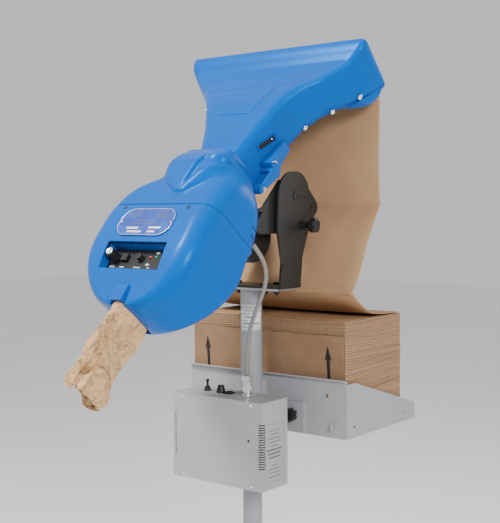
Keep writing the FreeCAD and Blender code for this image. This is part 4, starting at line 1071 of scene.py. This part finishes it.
def plate_prints():
    """A thin bright border and plain bars on the data plate, and plain marks on the control panel."""
    plate_y = -208.9
    border = [head(x, plate_y + 0.35, z) for x, z in round_corners((-64.6, -262.6), (60.6, -205.4), 24.6, 12)]
    vertices, faces = tube(border, 0.0006, 10)
    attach(mesh_piece("data_plate_border", vertices, faces, TURNED, "silver_metal"), "head")

    def bar(x, z, w, h, level):
        return [head(x + sx * w / 2, level, z + sz * h / 2) for sx, sz in SQUARE]

    for name, tall, ink, bars in (
            ("data_plate_lines", 1.6, INK, ((-32, -213, 30), (30, -213, 26), (-34, -219, 24), (30, -219, 30),
                                            (-36, -225, 18), (32, -224, 24), (0, -232, 34), (0, -239, 58))),
            ("data_plate_fields", 4.2, WHITE, ((-26, -248, 28), (26, -247, 28), (-18, -256, 34),
                                               (22, -255.5, 18)))):
        marks = [bar(x, z, w, tall, plate_y + 0.2) for x, z, w in bars]
        print_on(name, marks, HEAD_FRONT, ink, "plate_blue", "head")

    level = -181.15
    marks = [bar(x, -313, w, 1.8, level) for x, w in ((-57, 12), (-33, 10), (3, 15), (30, 5))]
    for x, z, sign in ((36, -281, -1), (24, -306, 1)):
        tip = ((-4.5, 0), (0, 3.4), (0, 1.2), (4.5, 1.2), (4.5, -1.2), (0, -1.2), (0, -3.4))
        marks.append([head(x + px * sign, level, z + pz) for px, pz in tip])
    print_on("panel_marks", marks, HEAD_FRONT, WHITE, "black_plastic", "head")


def knob_cap():
    """The turned silver disc on the front of the speed knob."""
    outline = [(0.2, 0.0), (6.4, 0.0), (7.2, 0.5), (7.2, 1.2), (6.2, 1.9), (5.4, 1.6), (0.2, 1.5)]
    x, z = -57, -295
    rows = [[head(x + u, -KNOB_FACE - lift, z + v) for u, v in circle(radius, 36)]
            for radius, lift in outline]
    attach(mesh_piece("speed_knob_cap", *lofted(rows, True), TURNED, "black_plastic"), "speed_dial")


def column_label():
    """A plain white label wrapped round the column, with plain printed lines."""
    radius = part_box("upper_column")[1].x + 0.0003
    low, high = 1.110, 1.161
    start, end, steps = radians(-118), radians(6), 40
    grid, normals = [], []
    for z in (low, high):
        grid.append([Vector((radius * cos(start + (end - start) * k / steps),
                             radius * sin(start + (end - start) * k / steps), z)) for k in range(steps + 1)])
        normals.append([Vector((p.x, p.y, 0)).normalized() for p in grid[-1]])
    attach(slab("column_label", grid, normals, 0.0002, WHITE, "column_steel"), "mast")
    vertices, faces = [], []
    ends = ((0.08, 0.7), (0.2, 0.9), (0.1, 0.55), (0.25, 0.8), (0.06, 0.4), (0.15, 0.85), (0.1, 0.6))
    for row, (a, b) in enumerate(ends):
        z = high - 0.006 - row * 0.0065
        begin = len(vertices)
        thick = 0.0018 if row in (3, 5) else 0.0009
        for rise in (0.0002, 0.00005):
            for level in (z, z + thick):
                for k in range(21):
                    angle = start + (end - start) * (a + (b - a) * k / 20)
                    out = Vector((cos(angle), sin(angle), 0)) * (radius + rise)
                    vertices.append(out + Vector((0, 0, level)))
        faces += grid_faces(2, 21, start=begin) + grid_faces(2, 21, start=begin + 42, flip=True)
        for k in range(20):
            faces.append((begin + k + 1, begin + k, begin + 42 + k, begin + 43 + k))
            faces.append((begin + 21 + k, begin + 22 + k, begin + 64 + k, begin + 63 + k))
        faces.append((begin, begin + 21, begin + 63, begin + 42))
        faces.append((begin + 41, begin + 20, begin + 62, begin + 83))
    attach(mesh_piece("column_label_lines", vertices, faces, INK, "column_steel"), "mast")


def box_label():
    """A plain printed field on the right side of the control box, and a black disc on its front as painted shade
    for the small hole.
    """
    low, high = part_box("box_cover")
    x = high.x + 0.0001
    y0, y1, z0, z1 = low.y + 0.010, low.y + 0.066, low.z + 0.013, low.z + 0.122
    border = [Vector((x, y, z)) for y, z in round_corners((y0, z0), (y1, z1), 0.006, 6)]
    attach(mesh_piece("box_label_frame", *tube(border, 0.0002, 6), INK, "grey_steel"), "mast")
    lines = []
    widths = (0.6, 0.5, 0.7, 0.62, 0.4, 0.8, 0.72, 0.6, 0.0, 0.3, 0.75, 0.5, 0.66)
    for row, share in enumerate(widths):
        if not share:
            continue
        z, half = z1 - 0.012 - row * 0.0072, share * (y1 - y0) / 2
        tall = 0.0013 if row in (5, 6, 7) else 0.0006
        middle = (y0 + y1) / 2
        lines.append([Vector((x, middle + sy * half, z + sz * tall))
                      for sy, sz in SQUARE])
    print_on("box_label_lines", lines, Vector((1, 0, 0)), INK, "grey_steel", "mast")
    # painted shade: a black disc standing in for the shade inside the small hole
    hole = [Vector((0.0783 + 0.0026 * cos(a), low.y, 0.9193 + 0.0026 * sin(a)))
            for a in np.linspace(0, 2 * pi, 20, endpoint=False)]
    print_on("box_front_hole_painted_shade", [hole], Vector((0, -1, 0)), BLACK_PRINT_AND_SHADE, "grey_steel", "mast")


# ---- stage
def stage():
    """A pale floor, an even white surrounding and three soft lights."""
    span = 14.0
    mesh = bpy.data.meshes.new("floor")
    mesh.from_pydata([(sx * span, sy * span, 0) for sx, sy in SQUARE], [], [(0, 1, 2, 3)])
    s = Shader("floor", 0.7, specular=0.2)
    s.colour(s.ramp(s.noise(1.5, 3), (0.3, (0.90, 0.90, 0.90)), (0.7, (0.93, 0.93, 0.93))))
    mesh.materials.append(s.material)
    floor = placed("floor", mesh)
    world = bpy.data.worlds.new("studio")
    bpy.context.scene.world = world
    world.use_nodes = True
    background = world.node_tree.nodes["Background"]
    background.inputs["Color"].default_value = (1, 1, 1, 1)
    background.inputs["Strength"].default_value = 0.68
    for name, place, target, size, power in (("key", (-1.2, -1.9, 3.9), (0, -0.1, 1.35), 1.0, 200),
                                             ("right", (2.4, -1.7, 2.2), (0.0, 0.0, 1.1), 0.8, 90),
                                             ("back", (1.4, 2.6, 2.6), (0, -0.1, 1.35), 2.0, 40)):
        data = bpy.data.lights.new(name, "AREA")
        data.shape, data.size, data.energy = "DISK", size, power
        lamp = placed(name, data)
        lamp.location = place
        lamp.rotation_mode = "QUATERNION"
        lamp.rotation_quaternion = (Vector(target) - Vector(place)).to_track_quat("-Z", "Y")


signal_cable()
funnel()
rear_panel()
raised_field()
slot_trim()
slot_screw()
brace()
upper_cover()
paper_web()
paper_pack()
pack_wrap()
paper_strip()
plate_prints()
knob_cap()
column_label()
box_label()
stage()
